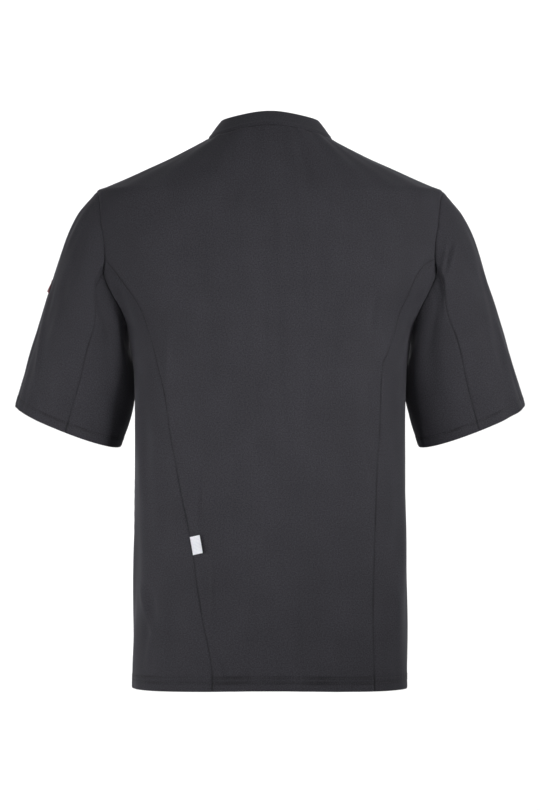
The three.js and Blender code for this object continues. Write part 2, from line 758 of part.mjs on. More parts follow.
function makeSleeveUpper(hand) {
  const overTop = [...HOLE.toSleeveSeam].reverse();
  const stops = join(join(overTop, [...HOLE.back].reverse()), HOLE.front.map((t) => t - 360).reverse());
  return makeSleevePart(stops, 360, hand);
}

function makeSleeveUnder(hand) {
  return makeSleevePart(join(HOLE.underBack, HOLE.underFront), 0, hand);
}

function makeCollar() {
  const back = steps(STEPS.backAcross, SHOULDER_SEAM_ANGLE, -SHOULDER_SEAM_ANGLE);
  const front = steps(STEPS.frontAcross, SHOULDER_SEAM_ANGLE, Math.PI);
  const angles = join(join([...front].reverse(), back), front.map((angle) => -angle));
  const [columns, rows] = [angles.length - 1, STEPS.collarUp];
  return wall({
    columns,
    rows,
    point: (i, j) => collar(angles[i], j / rows),
    normal: (i, j) => collarNormal(angles[i], j / rows),
    mitre: (i, j) => (j === 0 ? neckMitre(angles[i]) : null),
    thick: () => COLLAR_CLOTH,
    inset: [SEAM_INSET, COLLAR_END_GAP / 2, 0, COLLAR_END_GAP / 2],
  });
}

// A press stud cap: a low round button with a slanted rim, standing on the outer front
function makeStud(side) {
  const out = bodyNormal(Math.PI, side);
  const foot = body(Math.PI, side).addScaledVector(out, lapLift(Math.PI, side) + STUD.clear);
  const profile = [
    [0, 0],
    [STUD.radius, 0],
    [STUD.radius, STUD.height * 0.45],
    [STUD.radius * 0.7, STUD.height * 0.9],
    [0, STUD.height],
  ].map(([r, h]) => new THREE.Vector2(r, h));
  const stud = new THREE.LatheGeometry(profile, STUD.sides);
  stud.applyQuaternion(new THREE.Quaternion().setFromUnitVectors(new THREE.Vector3(0, 1, 0), out));
  return stud.translate(foot.x, foot.y, foot.z);
}

// A small tag of cloth on a surface. at gives a base point and the normal there, for shares of the
// tag's width and length. It stands clear of the surface, and further off along its free edge.
function makeTag({ length, width, cloth: thick, clear, lift }, at, free) {
  const [columns, rows] = [STEPS.tagAcross, STEPS.tagAlong];
  const off = (i, j) => clear + thick + lift * smooth(free(i / columns, j / rows));
  const place = (i, j) => at((i / columns) * width, (j / rows - 0.5) * length);
  return wall({
    columns,
    rows,
    point: (i, j) => {
      const { point, normal } = place(i, j);
      return point.addScaledVector(normal, off(i, j));
    },
    normal: (i, j) => place(i, j).normal,
    mitre: () => null,
    thick: () => thick,
    inset: [0, 0, 0, 0],
  });
}

// The white tag leaves the left back seam towards the middle of the back
function makeSeamTag() {
  const at = (across, up) => {
    const side = SEAM_TAG.middleZ + up;
    const angle = angleAt(BACK_SEAM_LEFT.out(side) - across, side, 1);
    return { point: body(angle, side), normal: bodyNormal(angle, side) };
  };
  return makeTag(SEAM_TAG, at, (across) => across);
}

// The red tab is sewn by its upper edge across the outer line of the left sleeve
function makeSleeveTab() {
  const { surface, normal } = SLEEVES[1];
  const length = surface(0, 0).distanceTo(surface(0, 1));
  const at = (across, along) => {
    const down = SLEEVE_TAG.down + along / length;
    const turn = SLEEVE_TAG.turn + THREE.MathUtils.radToDeg(across / SLEEVE.back(down));
    return { point: surface(turn, down), normal: normal(turn, down) };
  };
  return makeTag(SLEEVE_TAG, at, (across, along) => along);
}

const group = new THREE.Group();
group.name = "chef_jacket";

function add(name, geometry, material) {
  const mesh = new THREE.Mesh(geometry, material);
  mesh.name = name;
  group.add(mesh);
}

add("back", makeBack(), MATERIALS.body);
for (const [name, hand, table] of [["left", 1, BACK_SEAM_LEFT], ["right", -1, BACK_SEAM_RIGHT]]) {
  add(`side_back_${name}`, makeSideBack(table, hand), MATERIALS.side);
  add(`front_${name}`, makeFront(hand), MATERIALS.body);
  add(`sleeve_upper_${name}`, makeSleeveUpper(hand), MATERIALS.sleeve);
  add(`sleeve_under_${name}`, makeSleeveUnder(hand), MATERIALS.sleeve);
}
add("collar", makeCollar(), MATERIALS.collar);
steps(STUD.count - 1, STUD.top, STUD.bottom).forEach((side, k) => {
  add(`stud_${k + 1}`, makeStud(side), MATERIALS.stud);
});
add("seam_tag", makeSeamTag(), MATERIALS.whiteTag);
add("sleeve_tab", makeSleeveTab(), MATERIALS.redTag);

export default group;
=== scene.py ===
"""Looks for a short-sleeved chef jacket, hollow as when it is worn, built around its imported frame.

Sizes are in millimetres until a mesh is made, which is in metres. +Z is up, the back faces +Y, and +X
is the wearer's left. A place on the body is an angle round it, 0 at the middle back, and the height of
its ring at the widest line. A place on a sleeve is a turn in degrees, 0 along its outer line and 90 at
its back, and a share of its length down from the armhole.
"""
import logging
import math
from collections.abc import Callable, Sequence
from dataclasses import dataclass, field
from enum import Enum

import bmesh
import bpy
import numpy as np
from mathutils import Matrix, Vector


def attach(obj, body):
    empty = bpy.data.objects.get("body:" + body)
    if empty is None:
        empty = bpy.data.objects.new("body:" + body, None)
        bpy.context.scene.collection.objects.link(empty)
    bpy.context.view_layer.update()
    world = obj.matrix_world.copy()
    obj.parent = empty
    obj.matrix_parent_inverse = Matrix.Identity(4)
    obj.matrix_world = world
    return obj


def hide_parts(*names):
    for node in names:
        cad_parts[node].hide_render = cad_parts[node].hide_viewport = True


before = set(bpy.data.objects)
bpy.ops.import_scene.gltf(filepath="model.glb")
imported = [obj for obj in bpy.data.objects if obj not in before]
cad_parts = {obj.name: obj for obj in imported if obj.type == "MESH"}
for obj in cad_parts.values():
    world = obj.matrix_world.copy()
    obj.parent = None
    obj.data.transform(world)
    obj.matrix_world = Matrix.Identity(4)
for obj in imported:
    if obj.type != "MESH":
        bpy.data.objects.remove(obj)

Array = np.ndarray
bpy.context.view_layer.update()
METRES = 0.001
BODY = "root"
LOG = logging.getLogger("chef_jacket")

# Ring heights of the hem, the neck seam, the shoulder's tip, the places on the armhole where a back
# seam and a back sleeve seam end, and the underarm.
HEM_Z, NECK_Z, SHOULDER_TIP_Z, UNDERARM_Z = -732.0, -1.0, -69.0, -264.0
JUNCTION_Z, SLEEVE_SEAM_TOP_Z = -162.0, -180.0
# Angles of the side and shoulder seams, and how far a front runs past the middle at the neck.
SIDE_SEAM_ANGLE, SHOULDER_SEAM_ANGLE = math.radians(96), math.radians(95)
NECK_LAP_ANGLE = (math.pi - SHOULDER_SEAM_ANGLE) / 4
# Turn round the armhole at which the front sleeve seam starts.
FRONT_SLEEVE_SEAM = 250.0
# Wall thicknesses.
CLOTH, COLLAR_CLOTH = 1.0, 2.0
# The shortest length that a vector is divided by.
TINY = 1e-9
FULL_TURN = 360


class Hand(Enum):
    """A side of the wearer, with the sign of X there."""

    LEFT = 1
    RIGHT = -1


class Face(Enum):
    """The back or front half of a ring, with the sign of Y there."""

    BACK = 1
    FRONT = -1


class Measure(Enum):
    """One of the two numbers that give a place on the body, with its position in the pair."""

    ANGLE = 0
    SIDE = 1


def smooth(share: Array) -> Array:
    """Ease a share from 0 to 1 with level ends.

    Args:
        share: Values, held to 0 to 1.

    Returns:
        Three of its squares less two of its cubes.
    """
    held = np.clip(share, 0, 1)
    return held * held * (3 - 2 * held)


def unit(vectors: Array) -> Array:
    """Scale vectors to a length of one."""
    return vectors / np.maximum(np.linalg.norm(vectors, axis=-1, keepdims=True), TINY)


def normal_of(surface: Callable[[Array, Array], Array], first: Array, second: Array,
              steps: tuple[float, float]) -> Array:
    """Find a surface's unit normals from its slopes.

    Args:
        surface: Points as a function of two parameters.
        first: Values of the first parameter.
        second: Values of the second.
        steps: How far to step along each.

    Returns:
        The cross product of the second slope and the first, which is outward here.
    """
    along_first = surface(first + steps[0], second) - surface(first - steps[0], second)
    along_second = surface(first, second + steps[1]) - surface(first, second - steps[1])
    return unit(np.cross(along_second, along_first))


class SmoothTable:
    """A short table read as smooth functions of its first column."""

    def __init__(self, columns: Sequence[str], rows: Sequence[Sequence[float]]) -> None:
        """Work out each column's slopes.

        Args:
            columns: Names, the first being the one that the others depend on.
            rows: One row of numbers for each place, rising in the first column.
        """
        data = np.array(rows, float)
        self.at = data[:, 0]
        self.values = dict(zip(columns[1:], data[:, 1:].T))
        self.slopes = {name: self._slopes(value) for name, value in self.values.items()}

    def _slopes(self, value: Array) -> Array:
        """Work out a column's slopes.

        Args:
            value: The column.

        Returns:
            At each row, the harmonic mean of the chords before and after, or none at a turning point.
        """
        chord = np.diff(value) / np.diff(self.at)
        before, after = np.append(chord[:1], chord), np.append(chord, chord[-1:])
        product, total = before * after, before + after
        return np.where(product > 0, 2 * product / np.where(total == 0, 1, total), 0)

    def read(self, column: str, at: Array) -> Array:
        """Read a column at given places.

        Args:
            column: Its name.
            at: Values of the first column.

        Returns:
            The cubic through the rows on either side with their slopes, held level past the ends.
        """
        at = np.asarray(at, float)
        i = np.clip(np.searchsorted(self.at, at, side="right") - 1, 0, len(self.at) - 2)
        step = self.at[i + 1] - self.at[i]
        u = np.clip((at - self.at[i]) / step, 0, 1)
        value, slope = self.values[column], self.slopes[column]
        curve = value[i] * (1 + 2 * u) * (1 - u) ** 2 + value[i + 1] * u * u * (3 - 2 * u)
        return curve + step * (slope[i] * u * (1 - u) ** 2 - slope[i + 1] * u * u * (1 - u))


class Folds:
    """Soft folds, each along a line from a top place to a bottom one."""

    def __init__(self, rows: Sequence[Sequence[float]]) -> None:
        """Keep the folds.

        Args:
            rows: Columns top angle, top, bottom angle, bottom, half width and height, with angles in
                degrees, and the rest in mm but for the top and bottom of a sleeve's, which are shares.
        """
        data = np.array(rows, float).T
        self.top_angle, self.bottom_angle = np.radians(data[0]), np.radians(data[2])
        self.top, self.bottom, self.width, self.height_mm = data[1], data[3], data[4], data[5]

    def height(self, angle: Array, place: Array, radius: Array) -> Array:
        """Add up how far the folds push the cloth out.

        Args:
            angle: Angles round the form.
            place: Heights, or shares of a sleeve's length.
            radius: Distances from the form's axis.

        Returns:
            For each fold, half a sine wave along it times a bell curve across it.
        """
        angle, place, radius = np.broadcast_arrays(angle, place, radius)
        share = (place[..., None] - self.top) / (self.bottom - self.top)
        line = self.top_angle + (self.bottom_angle - self.top_angle) * share
        turn = angle[..., None] - line
        off = np.arctan2(np.sin(turn), np.cos(turn)) * radius[..., None] / self.width
        along = np.where((share > 0) & (share < 1), np.sin(np.pi * np.clip(share, 0, 1)), 0)
        return (self.height_mm * along * np.exp(-off * off)).sum(-1)


def square_radius(angle: Array, half: Array, depth: Array, square: Array) -> Array:
    """Radius of a squared ellipse at an angle from its depth axis, larger powers being squarer."""
    across = np.abs(np.sin(angle) / half) ** square
    return (across + np.abs(np.cos(angle) / depth) ** square) ** (-1 / square)


class BodyForm:
    """The outside of the jacket's body, from the hem to the neck."""

    RINGS = SmoothTable(("side", "half", "back", "front", "square", "back_lift", "front_lift"), [
        (HEM_Z, 183.4, 119, 112, 2.75, 3, 3),
        (-650, 182.9, 118, 113, 2.7, 1, 1),
        (-560, 182.6, 113, 113, 2.6, 0, 0),
        (-460, 181.4, 106, 113, 2.55, 0, 0),
        (-390, 180.8, 105, 116, 2.5, 0, 0),
        (-344, 181.0, 107, 119, 2.5, 0, 0),
        (-311, 182.0, 109, 121, 2.5, 0, 0),
        (-279, 186.3, 111, 121, 2.45, 0, 0),
        (-250, 193.5, 112, 120, 2.4, 0, 0),
        (-228, 208, 112, 119, 2.4, 0, -1),
        (-204, 229, 112, 118, 2.4, 0, -3),
        (-177, 243, 112, 116, 2.4, 0, -8),
        (JUNCTION_Z, 247, 112, 115, 2.4, 0, -12),
        (-140, 249, 111, 113, 2.4, -1, -20),
        (-118, 248.5, 109, 111, 2.35, -3, -31),
        (-98, 245, 106.5, 108.5, 2.3, -5, -42),
        (-82, 239, 103.5, 105.5, 2.28, -6, -50),
        (SHOULDER_TIP_Z, 231, 101, 103, 2.25, -6, -56),
        (-62.5, 215.8, 99, 100.5, 2.23, -5.5, -59),
        (-53.5, 194.8, 96, 96, 2.2, -4, -63),
        (-40, 164.8, 91, 88, 2.15, 0, -68),
        (-26.7, 134.6, 85, 79, 2.1, 5, -72),
        (-13.3, 107.6, 78, 70, 2.1, 11, -75),
        (NECK_Z, 84, 71, 62, 2.1, 15.7, -77),
    ])
    ARMHOLE_BACK = SmoothTable(("side", "out"), [
        (UNDERARM_Z, 189.6),
        (-250, 191.5),
        (-228, 199),
        (-205, 211),
        (-193, 216.5),
        (-180, 220.5),
        (-170, 219.5),
        (JUNCTION_Z, 218),
        (-140, 219),
        (-118, 222.5),
        (-80, 227.5),
        (SHOULDER_TIP_Z, 231.5),
    ])
    ARMHOLE_FRONT = SmoothTable(("side", "out"), [
        (UNDERARM_Z, 189.6),
        (-250, 188.5),
        (-228, 189),
        (-200, 191),
        (-170, 196),
        (-140, 204),
        (-110, 213),
        (-85, 222),
        (SHOULDER_TIP_Z, 231.5),
    ])
    BACK_SEAMS = {
        Hand.LEFT: SmoothTable(("side", "out"), [
            (HEM_Z, 75.2),
            (-708, 75.7),
            (-688, 77.7),
            (-669, 81.5),
            (-645, 86.7),
            (-597, 94.6),
            (-555, 99.8),
            (-505, 109.2),
            (-453, 120.1),
            (-390, 131),
            (-345, 137),
            (-300, 148),
            (-266, 157),
            (-225, 172),
            (-190, 196),
            (JUNCTION_Z, 218),
        ]),
        Hand.RIGHT: SmoothTable(("side", "out"), [
            (HEM_Z, 137),
            (-640, 135.5),
            (-540, 137.5),
            (-436, 142),
            (-382, 145),
            (-325, 147),
            (-300, 148.5),
            (-288, 154.5),
            (-262, 163),
            (-232, 171),
            (-211, 181),
            (-185, 192.5),
            (-171, 203),
            (JUNCTION_Z, 218),
        ]),
    }
    FOLDS = Folds([
        (52, -470, 58, -716, 16, 3.2),
        (66, -250, 57, -520, 22, 2.0),
        (80, -380, 78, -700, 20, -2.4),
        (24, -420, 22, -716, 30, -3.2),
        (38, -470, 36, -640, 15, 2.2),
        (2, -300, -4, -700, 46, 2.0),
        (-24, -500, -27, -716, 32, -2.6),
        (-46, -230, -54, -470, 18, 2.2),
        (-62, -280, -54, -420, 14, -1.8),
        (-76, -400, -74, -716, 20, 2.0),
        (60, -140, 50, -290, 24, 1.6),
        (-60, -140, -48, -300, 24, 1.6),
        (112, -300, 120, -600, 24, 2.6),
        (134, -330, 132, -716, 26, -3.0),
        (150, -230, 154, -560, 24, 2.2),
        (-112, -290, -122, -620, 24, 2.6),
        (-136, -340, -132, -716, 26, -3.0),
        (-152, -240, -154, -560, 24, 2.2),
        (-100, -420, -102, -700, 22, -2.2),
        (104, -150, 128, -300, 20, 2.6),
        (-104, -150, -128, -300, 20, 2.6),
    ])
    STEPS = (0.004, 0.5)
    TOP_OF_NORMALS = NECK_Z - 0.5
    HALF_HOLE_STEPS = 160
    HALVINGS = 40

    def __init__(self) -> None:
        """Measure the armhole once, as every piece round it shares its points."""
        sides, angles = self._armhole_line()
        spans = np.linalg.norm(np.diff(self.plain(angles, sides), axis=0), axis=-1)
        length = np.append(0, np.cumsum(spans))
        self.hole_sides, self.hole_angles = sides, angles
        self.hole_turns = FULL_TURN * length / length[-1]
        self.lap = self.RINGS.read("front", NECK_Z) * math.tan(NECK_LAP_ANGLE)

    def _armhole_line(self) -> tuple[Array, Array]:
        """Follow the left armhole from the shoulder down the back to the underarm and up the front.

        Returns:
            Ring heights and angles, closer together at both ends by a cosine.
        """
        share = np.arange(self.HALF_HOLE_STEPS + 1) / self.HALF_HOLE_STEPS
        fall = (SHOULDER_TIP_Z - UNDERARM_Z) * (1 - np.cos(np.pi * share)) / 2
        down, up = SHOULDER_TIP_Z - fall, (UNDERARM_Z + fall)[1:]
        back = self.angle_at(self.ARMHOLE_BACK.read("out", down), down, Face.BACK)
        front = self.angle_at(self.ARMHOLE_FRONT.read("out", up), up, Face.FRONT)
        return np.append(down, up), np.append(back, front)

    def plain(self, angle: Array, side: Array) -> Array:
        """Points of the body without folds.

        Args:
            angle: Angles round it.
            side: Ring heights.

        Returns:
            A squared ellipse for each ring, whose middle back and middle front are raised or lowered
            by a lift that grows with the square of the angle's cosine.
        """
        angle, side = np.broadcast_arrays(np.asarray(angle, float), np.asarray(side, float))
        c, rings = np.cos(angle), self.RINGS
        depth = np.where(c > 0, rings.read("back", side), rings.read("front", side))
        lift = np.where(c > 0, rings.read("back_lift", side), rings.read("front_lift", side))
        radius = square_radius(angle, rings.read("half", side), depth, rings.read("square", side))
        return np.stack([radius * np.sin(angle), radius * c, side + lift * c * c], -1)

    def point(self, angle: Array, side: Array) -> Array:
        """Points of the body.

        Args:
            angle: Angles round it.
            side: Ring heights.

        Returns:
            The plain points, pushed out along their normals by the folds.
        """
        base = self.plain(angle, side)
        height = self.FOLDS.height(angle, side, np.hypot(base[..., 0], base[..., 1]))
        return base + height[..., None] * normal_of(self.plain, angle, side, self.STEPS)

    def normal(self, angle: Array, side: Array) -> Array:
        """Outward unit normals of the folded body."""
        return normal_of(self.point, angle, np.minimum(side, self.TOP_OF_NORMALS), self.STEPS)

    def angle_at(self, out: Array, side: Array, face: Face) -> Array:
        """Find where a ring is a given distance from the middle.

        Args:
            out: The distances, positive on the wearer's left.
            side: Ring heights.
            face: The half of the ring.

        Returns:
            The angles there, by the squared ellipse's formula solved for its depth.
        """
        square = self.RINGS.read("square", side)
        depth = self.RINGS.read("back" if face is Face.BACK else "front", side)
        share = np.minimum(1, np.abs(out) / self.RINGS.read("half", side)) ** square
        return np.arctan2(out, face.value * depth * (1 - share) ** (1 / square))

    def hole(self, turn: Array) -> tuple[Array, Array]:
        """Find places on the left armhole.

        Args:
            turn: Turns round it, which grow with its length.

        Returns:
            The angles and ring heights there.
        """
        turn = np.mod(turn, FULL_TURN)
        angle = np.interp(turn, self.hole_turns, self.hole_angles)
        return np.mod(angle, 2 * np.pi), np.interp(turn, self.hole_turns, self.hole_sides)

    def turn_where(self, measure: Measure, value: float, low: float, high: float) -> float:
        """Find the armhole's turn for an angle or a ring height.

        Args:
            measure: Which of the two is given.
            value: Its value.
            low: The lower turn to search from.
            high: The upper one.

        Returns:
            The turn, by halving the range.
        """
        part = measure.value
        rising = self.hole(high)[part] > self.hole(low)[part]
        for _ in range(self.HALVINGS):
            middle = (low + high) / 2
            if (self.hole(middle)[part] < value) == rising:
                low = middle
            else:
                high = middle
        return (low + high) / 2


class SleeveForm:
    """The outside of one sleeve, from the armhole to the cuff."""

    RINGS = SmoothTable(
        ("down", "out_x", "out_z", "in_x", "in_z", "fore", "lean", "back", "front", "drop"), [
            (0, 231.5, -69, 189.6, -264, 2, 0, 64, 78, 0),
            (0.06, 244.5, -84, 190, -273, 2, 2, 66, 77, 0),
            (0.12, 257, -100, 189.5, -282, 1, 5, 68, 76, 0),
            (0.25, 274.5, -135.5, 184.6, -302, -1, 15, 70, 70, 2),
            (0.45, 293, -194, 180.6, -334, -4, 26, 72, 61, 4),
            (0.7, 315, -263, 187.2, -368, -8, 25, 68, 56, 7),
            (1, 342, -355, 200, -410, -13, 18, 62, 52, 10),
        ])
    FOLDS = Folds([
        (62, 0.08, 58, 0.85, 16, 2.0),
        (112, 0.06, 118, 0.7, 13, -2.4),
        (140, 0.02, 134, 0.55, 12, 2.4),
        (30, 0.25, 34, 0.98, 20, -1.6),
        (-48, 0.15, -40, 0.9, 18, 2.2),
        (-78, 0.1, -74, 0.8, 14, -2.2),
        (-128, 0.02, -120, 0.6, 12, 2.2),
    ])
    SQUARE = 2.15
    CAP_BLEND = 0.4
    BACK_SEAM_AT_CUFF = {Hand.LEFT: 89.0, Hand.RIGHT: 84.0}
    BACK_SEAM_BOW = {Hand.LEFT: 4.0, Hand.RIGHT: 8.5}
    FRONT_SEAM_AT_CUFF = 248.0
    STEPS = (0.4, 0.004)

    def __init__(self, body: BodyForm, hand: Hand) -> None:
        """Keep the body whose armhole the sleeve starts from.

        Args:
            body: The body.
            hand: The wearer's side.
        """
        self.body, self.hand = body, hand

    def ring(self, turn: Array, down: Array) -> Array:
        """Points of the sleeve's rings, not yet shifted onto the armhole.

        Args:
            turn: Turns round the sleeve.
            down: Shares of its length.

        Returns:
            Points of a squared ellipse in its own tilted plane, its back sinking by the drop.
        """
        angle = np.radians(turn)
        c, s = np.cos(angle), np.sin(angle)
        round_ = square_radius(angle, 1.0, 1.0, self.SQUARE)
        read = self.RINGS.read
        share = (1 + c * round_) / 2
        x = read("in_x", down) + (read("out_x", down) - read("in_x", down)) * share
        z = read("in_z", down) + (read("out_z", down) - read("in_z", down)) * share
        reach = np.where(s > 0, read("back", down), read("front", down))
        y = read("fore", down) - read("lean", down) * (1 - share) + s * round_ * reach
        return np.stack([self.hand.value * x, y, z - s * round_ * read("drop", down)], -1)

    def plain(self, turn: Array, down: Array) -> Array:
        """Points of the sleeve without folds.

        Args:
            turn: Turns round the sleeve.
            down: Shares of its length.

        Returns:
            The rings' points, shifted at the top so that they start on the armhole.
        """
        turn, down = np.broadcast_arrays(np.asarray(turn, float), np.maximum(down, 0.0))
        angle, side = self.body.hole(turn)
        start = self.body.point(self.hand.value * angle, side) - self.ring(turn, np.zeros_like(down))
        return self.ring(turn, down) + start * (1 - smooth(down / self.CAP_BLEND))[..., None]

    def point(self, turn: Array, down: Array) -> Array:
        """Points of the sleeve.

        Args:
            turn: Turns round the sleeve.
            down: Shares of its length.

        Returns:
            The plain points, pushed out along their normals by the folds.
        """
        turn, down = np.broadcast_arrays(np.asarray(turn, float), np.asarray(down, float))
        radius = self.RINGS.read("back", np.maximum(down, 0))
        height = self.FOLDS.height(np.radians(turn), down, radius)
        normal = self.hand.value * normal_of(self.plain, turn, down, self.STEPS)
        return self.plain(turn, down) + height[..., None] * normal

    def normal(self, turn: Array, down: Array) -> Array:
        """Outward unit normals of the folded sleeve."""
        down = np.maximum(down, self.STEPS[1])
        return self.hand.value * normal_of(self.point, turn, down, self.STEPS)


class CollarForm:
    """The outside of the stand collar."""

    HALF, BACK, FRONT, SQUARE = 64.5, 49.0, 58.0, 2.1
    Z, BACK_LIFT, FRONT_LIFT = 26.5, 9.3, -76.0
    BELLY = 0.8
    STEPS = (0.004, 0.02)

    def __init__(self, body: BodyForm) -> None:
        """Keep the body that the collar is sewn to."""
        self.body = body

    def point(self, angle: Array, up: Array) -> Array:
        """Points of the collar.

        Args:
            angle: Angles round it.
            up: Shares of the way from the neck seam to the top edge.

        Returns:
            Points on straight lines from seam to edge, pushed out between them by half a sine wave.
        """
        angle, up = np.broadcast_arrays(np.asarray(angle, float), np.asarray(up, float))
        c = np.cos(angle)
        seam = self.body.point(angle, np.full_like(angle, NECK_Z))
        depth = np.where(c > 0, self.BACK, self.FRONT)
        lift = np.where(c > 0, self.BACK_LIFT, self.FRONT_LIFT)
        radius = square_radius(angle, self.HALF, depth, self.SQUARE)
        top = np.stack([radius * np.sin(angle), radius * c, self.Z + lift * c * c], -1)
        out = np.stack([np.sin(angle), c, np.zeros_like(c)], -1)
        belly = self.BELLY * np.sin(np.pi * up)[..., None] * out
        return seam + (top - seam) * up[..., None] + belly

    def normal(self, angle: Array, up: Array) -> Array:
        """Outward unit normals of the collar."""
        return normal_of(self.point, angle, up, self.STEPS)


class Mitres:
    """Ways out of the wall along the seams where two forms meet at an angle."""

    LIMIT = 1.7
    INTO_SLEEVE, INTO_COLLAR = 0.01, 0.03

    def __init__(self, body: BodyForm, sleeves: dict[Hand, SleeveForm], collar: CollarForm) -> None:
        """Keep the forms that meet."""
        self.body, self.sleeves, self.collar = body, sleeves, collar

    def _way(self, before: Array, after: Array, first: Array, second: Array) -> Array:
        """Halve the angle between two forms square to their seam.

        Args:
            before: Points a little before each place on the seam.
            after: Points a little after it.
            first: The first form's normals there.
            second: The second form's.

        Returns:
            Ways out that are as long as a wall of thickness one needs, up to the limit.
        """
        along = unit(after - before)
        way = first + second
        way = unit(way - (way * along).sum(-1, keepdims=True) * along)
        return way / np.maximum((way * first).sum(-1, keepdims=True), 1 / self.LIMIT)

    def armhole(self, turn: Array, hand: Hand) -> Array:
        """Ways out along an armhole.

        Args:
            turn: Turns round it.
            hand: The wearer's side.

        Returns:
            The ways, from the forms' normals on either side of it.
        """
        def seam(turns: Array) -> Array:
            """Points of the armhole."""
            angle, side = self.body.hole(turns)
            return self.body.point(hand.value * angle, side)

        angle, side = self.body.hole(turn)
        first = self.body.normal(hand.value * angle, side)
        second = self.sleeves[hand].normal(turn, np.full_like(turn, self.INTO_SLEEVE))
        return self._way(seam(turn - 0.5), seam(turn + 0.5), first, second)

    def neck(self, angle: Array) -> Array:
        """Ways out along the neck seam.

        Args:
            angle: Angles round it.

        Returns:
            The ways, from the forms' normals on either side of it.
        """
        step, level = self.body.STEPS[0], np.full_like(angle, NECK_Z)
        before, after = self.body.point(angle - step, level), self.body.point(angle + step, level)
        first = self.body.normal(angle, level)
        second = self.collar.normal(angle, np.full_like(angle, self.INTO_COLLAR))
        return self._way(before, after, first, second)


class Line:
    """A line on the body that can be read by shares of its length."""

    SAMPLES = 400

    def __init__(self, body: BodyForm, make: Callable[[Array], Array]) -> None:
        """Measure the line.

        Args:
            body: The body it lies on.
            make: Places as a function of a rough share. A place has an angle, a ring height, the
                armhole's turn or NaN, and 1 on the neck seam or else 0.
        """
        self.make, self.rough = make, np.linspace(0, 1, self.SAMPLES)
        places = make(self.rough)
        spans = np.linalg.norm(np.diff(body.plain(places[:, 0], places[:, 1]), axis=0), axis=-1)
        travelled = np.append(0, np.cumsum(spans))
        self.length = float(travelled[-1])
        self.share = travelled / self.length

    def at(self, shares: Array) -> Array:
        """Places at shares of the line's length."""
        return self.make(np.interp(shares, self.share, self.rough))


def places_of(angle: Array, side: Array, turn: Array | None = None, neck: bool = False) -> Array:
    """Stack a line's places.

    Args:
        angle: Angles round the body.
        side: Ring heights.
        turn: Turns round the armhole, where the line follows it.
        neck: Whether it follows the neck seam.

    Returns:
        One row of four numbers for each place.
    """
    angle, side = np.broadcast_arrays(angle, side)
    turn = np.full(angle.shape, np.nan) if turn is None else turn
    return np.stack([angle, side, turn, np.full(angle.shape, float(neck))], -1)


def blend(start: float, end: float, share: Array) -> Array:
    """Go from start to end by a share."""
    return start + (end - start) * share


# Distances from a seam or hem at which points are laid, so that its groove has its shape.
FINE_STEPS = np.array([0, 0.5, 1.1, 1.8, 2.7, 4.0, 5.8, 8.0])


def spread(length: float, step: float, fine_start: bool = True, fine_end: bool = True) -> Array:
    """Spread points along a line, closer together by its seams.

    Args:
        length: The line's length in mm.
        step: The usual distance between points.
        fine_start: Whether the start is at a seam or hem.
        fine_end: Whether the end is.

    Returns:
        Shares of the length from 0 to 1.
    """
    start = FINE_STEPS if fine_start else FINE_STEPS[:1]
    end = length - (FINE_STEPS if fine_end else FINE_STEPS[:1])[::-1]
    count = max(2, round((end[0] - start[-1]) / step) + 1)
    return np.concatenate([start, np.linspace(start[-1], end[0], count)[1:-1], end]) / length


@dataclass
class ClothGrid:
    """Points of a piece of cloth in rows and columns, with the ways out of its wall there."""

    points: Array
    ups: Array
    normals: Array

    def __post_init__(self) -> None:
        """Measure how far each point is from the first row, last column, last row and first column."""
        along = np.linalg.norm(np.diff(self.points, axis=1), axis=-1)
        upward = np.linalg.norm(np.diff(self.points, axis=0), axis=-1)
        zero_column, zero_row = np.zeros((len(along), 1)), np.zeros((1, self.points.shape[1]))
        self.first = np.hstack([zero_column, np.cumsum(along, 1)])
        self.low = np.vstack([zero_row, np.cumsum(upward, 0)])
        self.last = self.first[:, -1:] - self.first
        self.high = self.low[-1:] - self.low

    def push(self, height: Array) -> None:
        """Move the points out along their normals by heights in mm."""
        self.points = self.points + height[..., None] * self.normals

    def line_above_hem(self, height: float) -> tuple[Array, Array]:
        """Follow the cloth at a height above its first row.

        Args:
            height: The height in mm, along the cloth.

        Returns:
            The line's points and the ways out there, one for each column.
        """
        row = np.clip((self.low < height).sum(0), 1, len(self.low) - 1)
        column = np.arange(self.points.shape[1])
        below, above = self.low[row - 1, column], self.low[row, column]
        u = ((height - below) / (above - below))[:, None]
        point = self.points[row - 1, column] * (1 - u) + self.points[row, column] * u
        return point, self.normals[row, column]


@dataclass(frozen=True)
class Drift:
    """A slow uneven wave along a seam, the product of two sine waves.

    Each wave has its length divided by a full circle, in mm, and the angle that it starts at.
    """

    first: float
    second: float
    first_start: float = 0.0
    second_start: float = 0.0

    def at(self, along: Array) -> Array:
        """Values from -1 to 1 at distances along the seam."""
        first = np.sin(along / self.first + self.first_start)
        return first * np.sin(along / self.second + self.second_start)


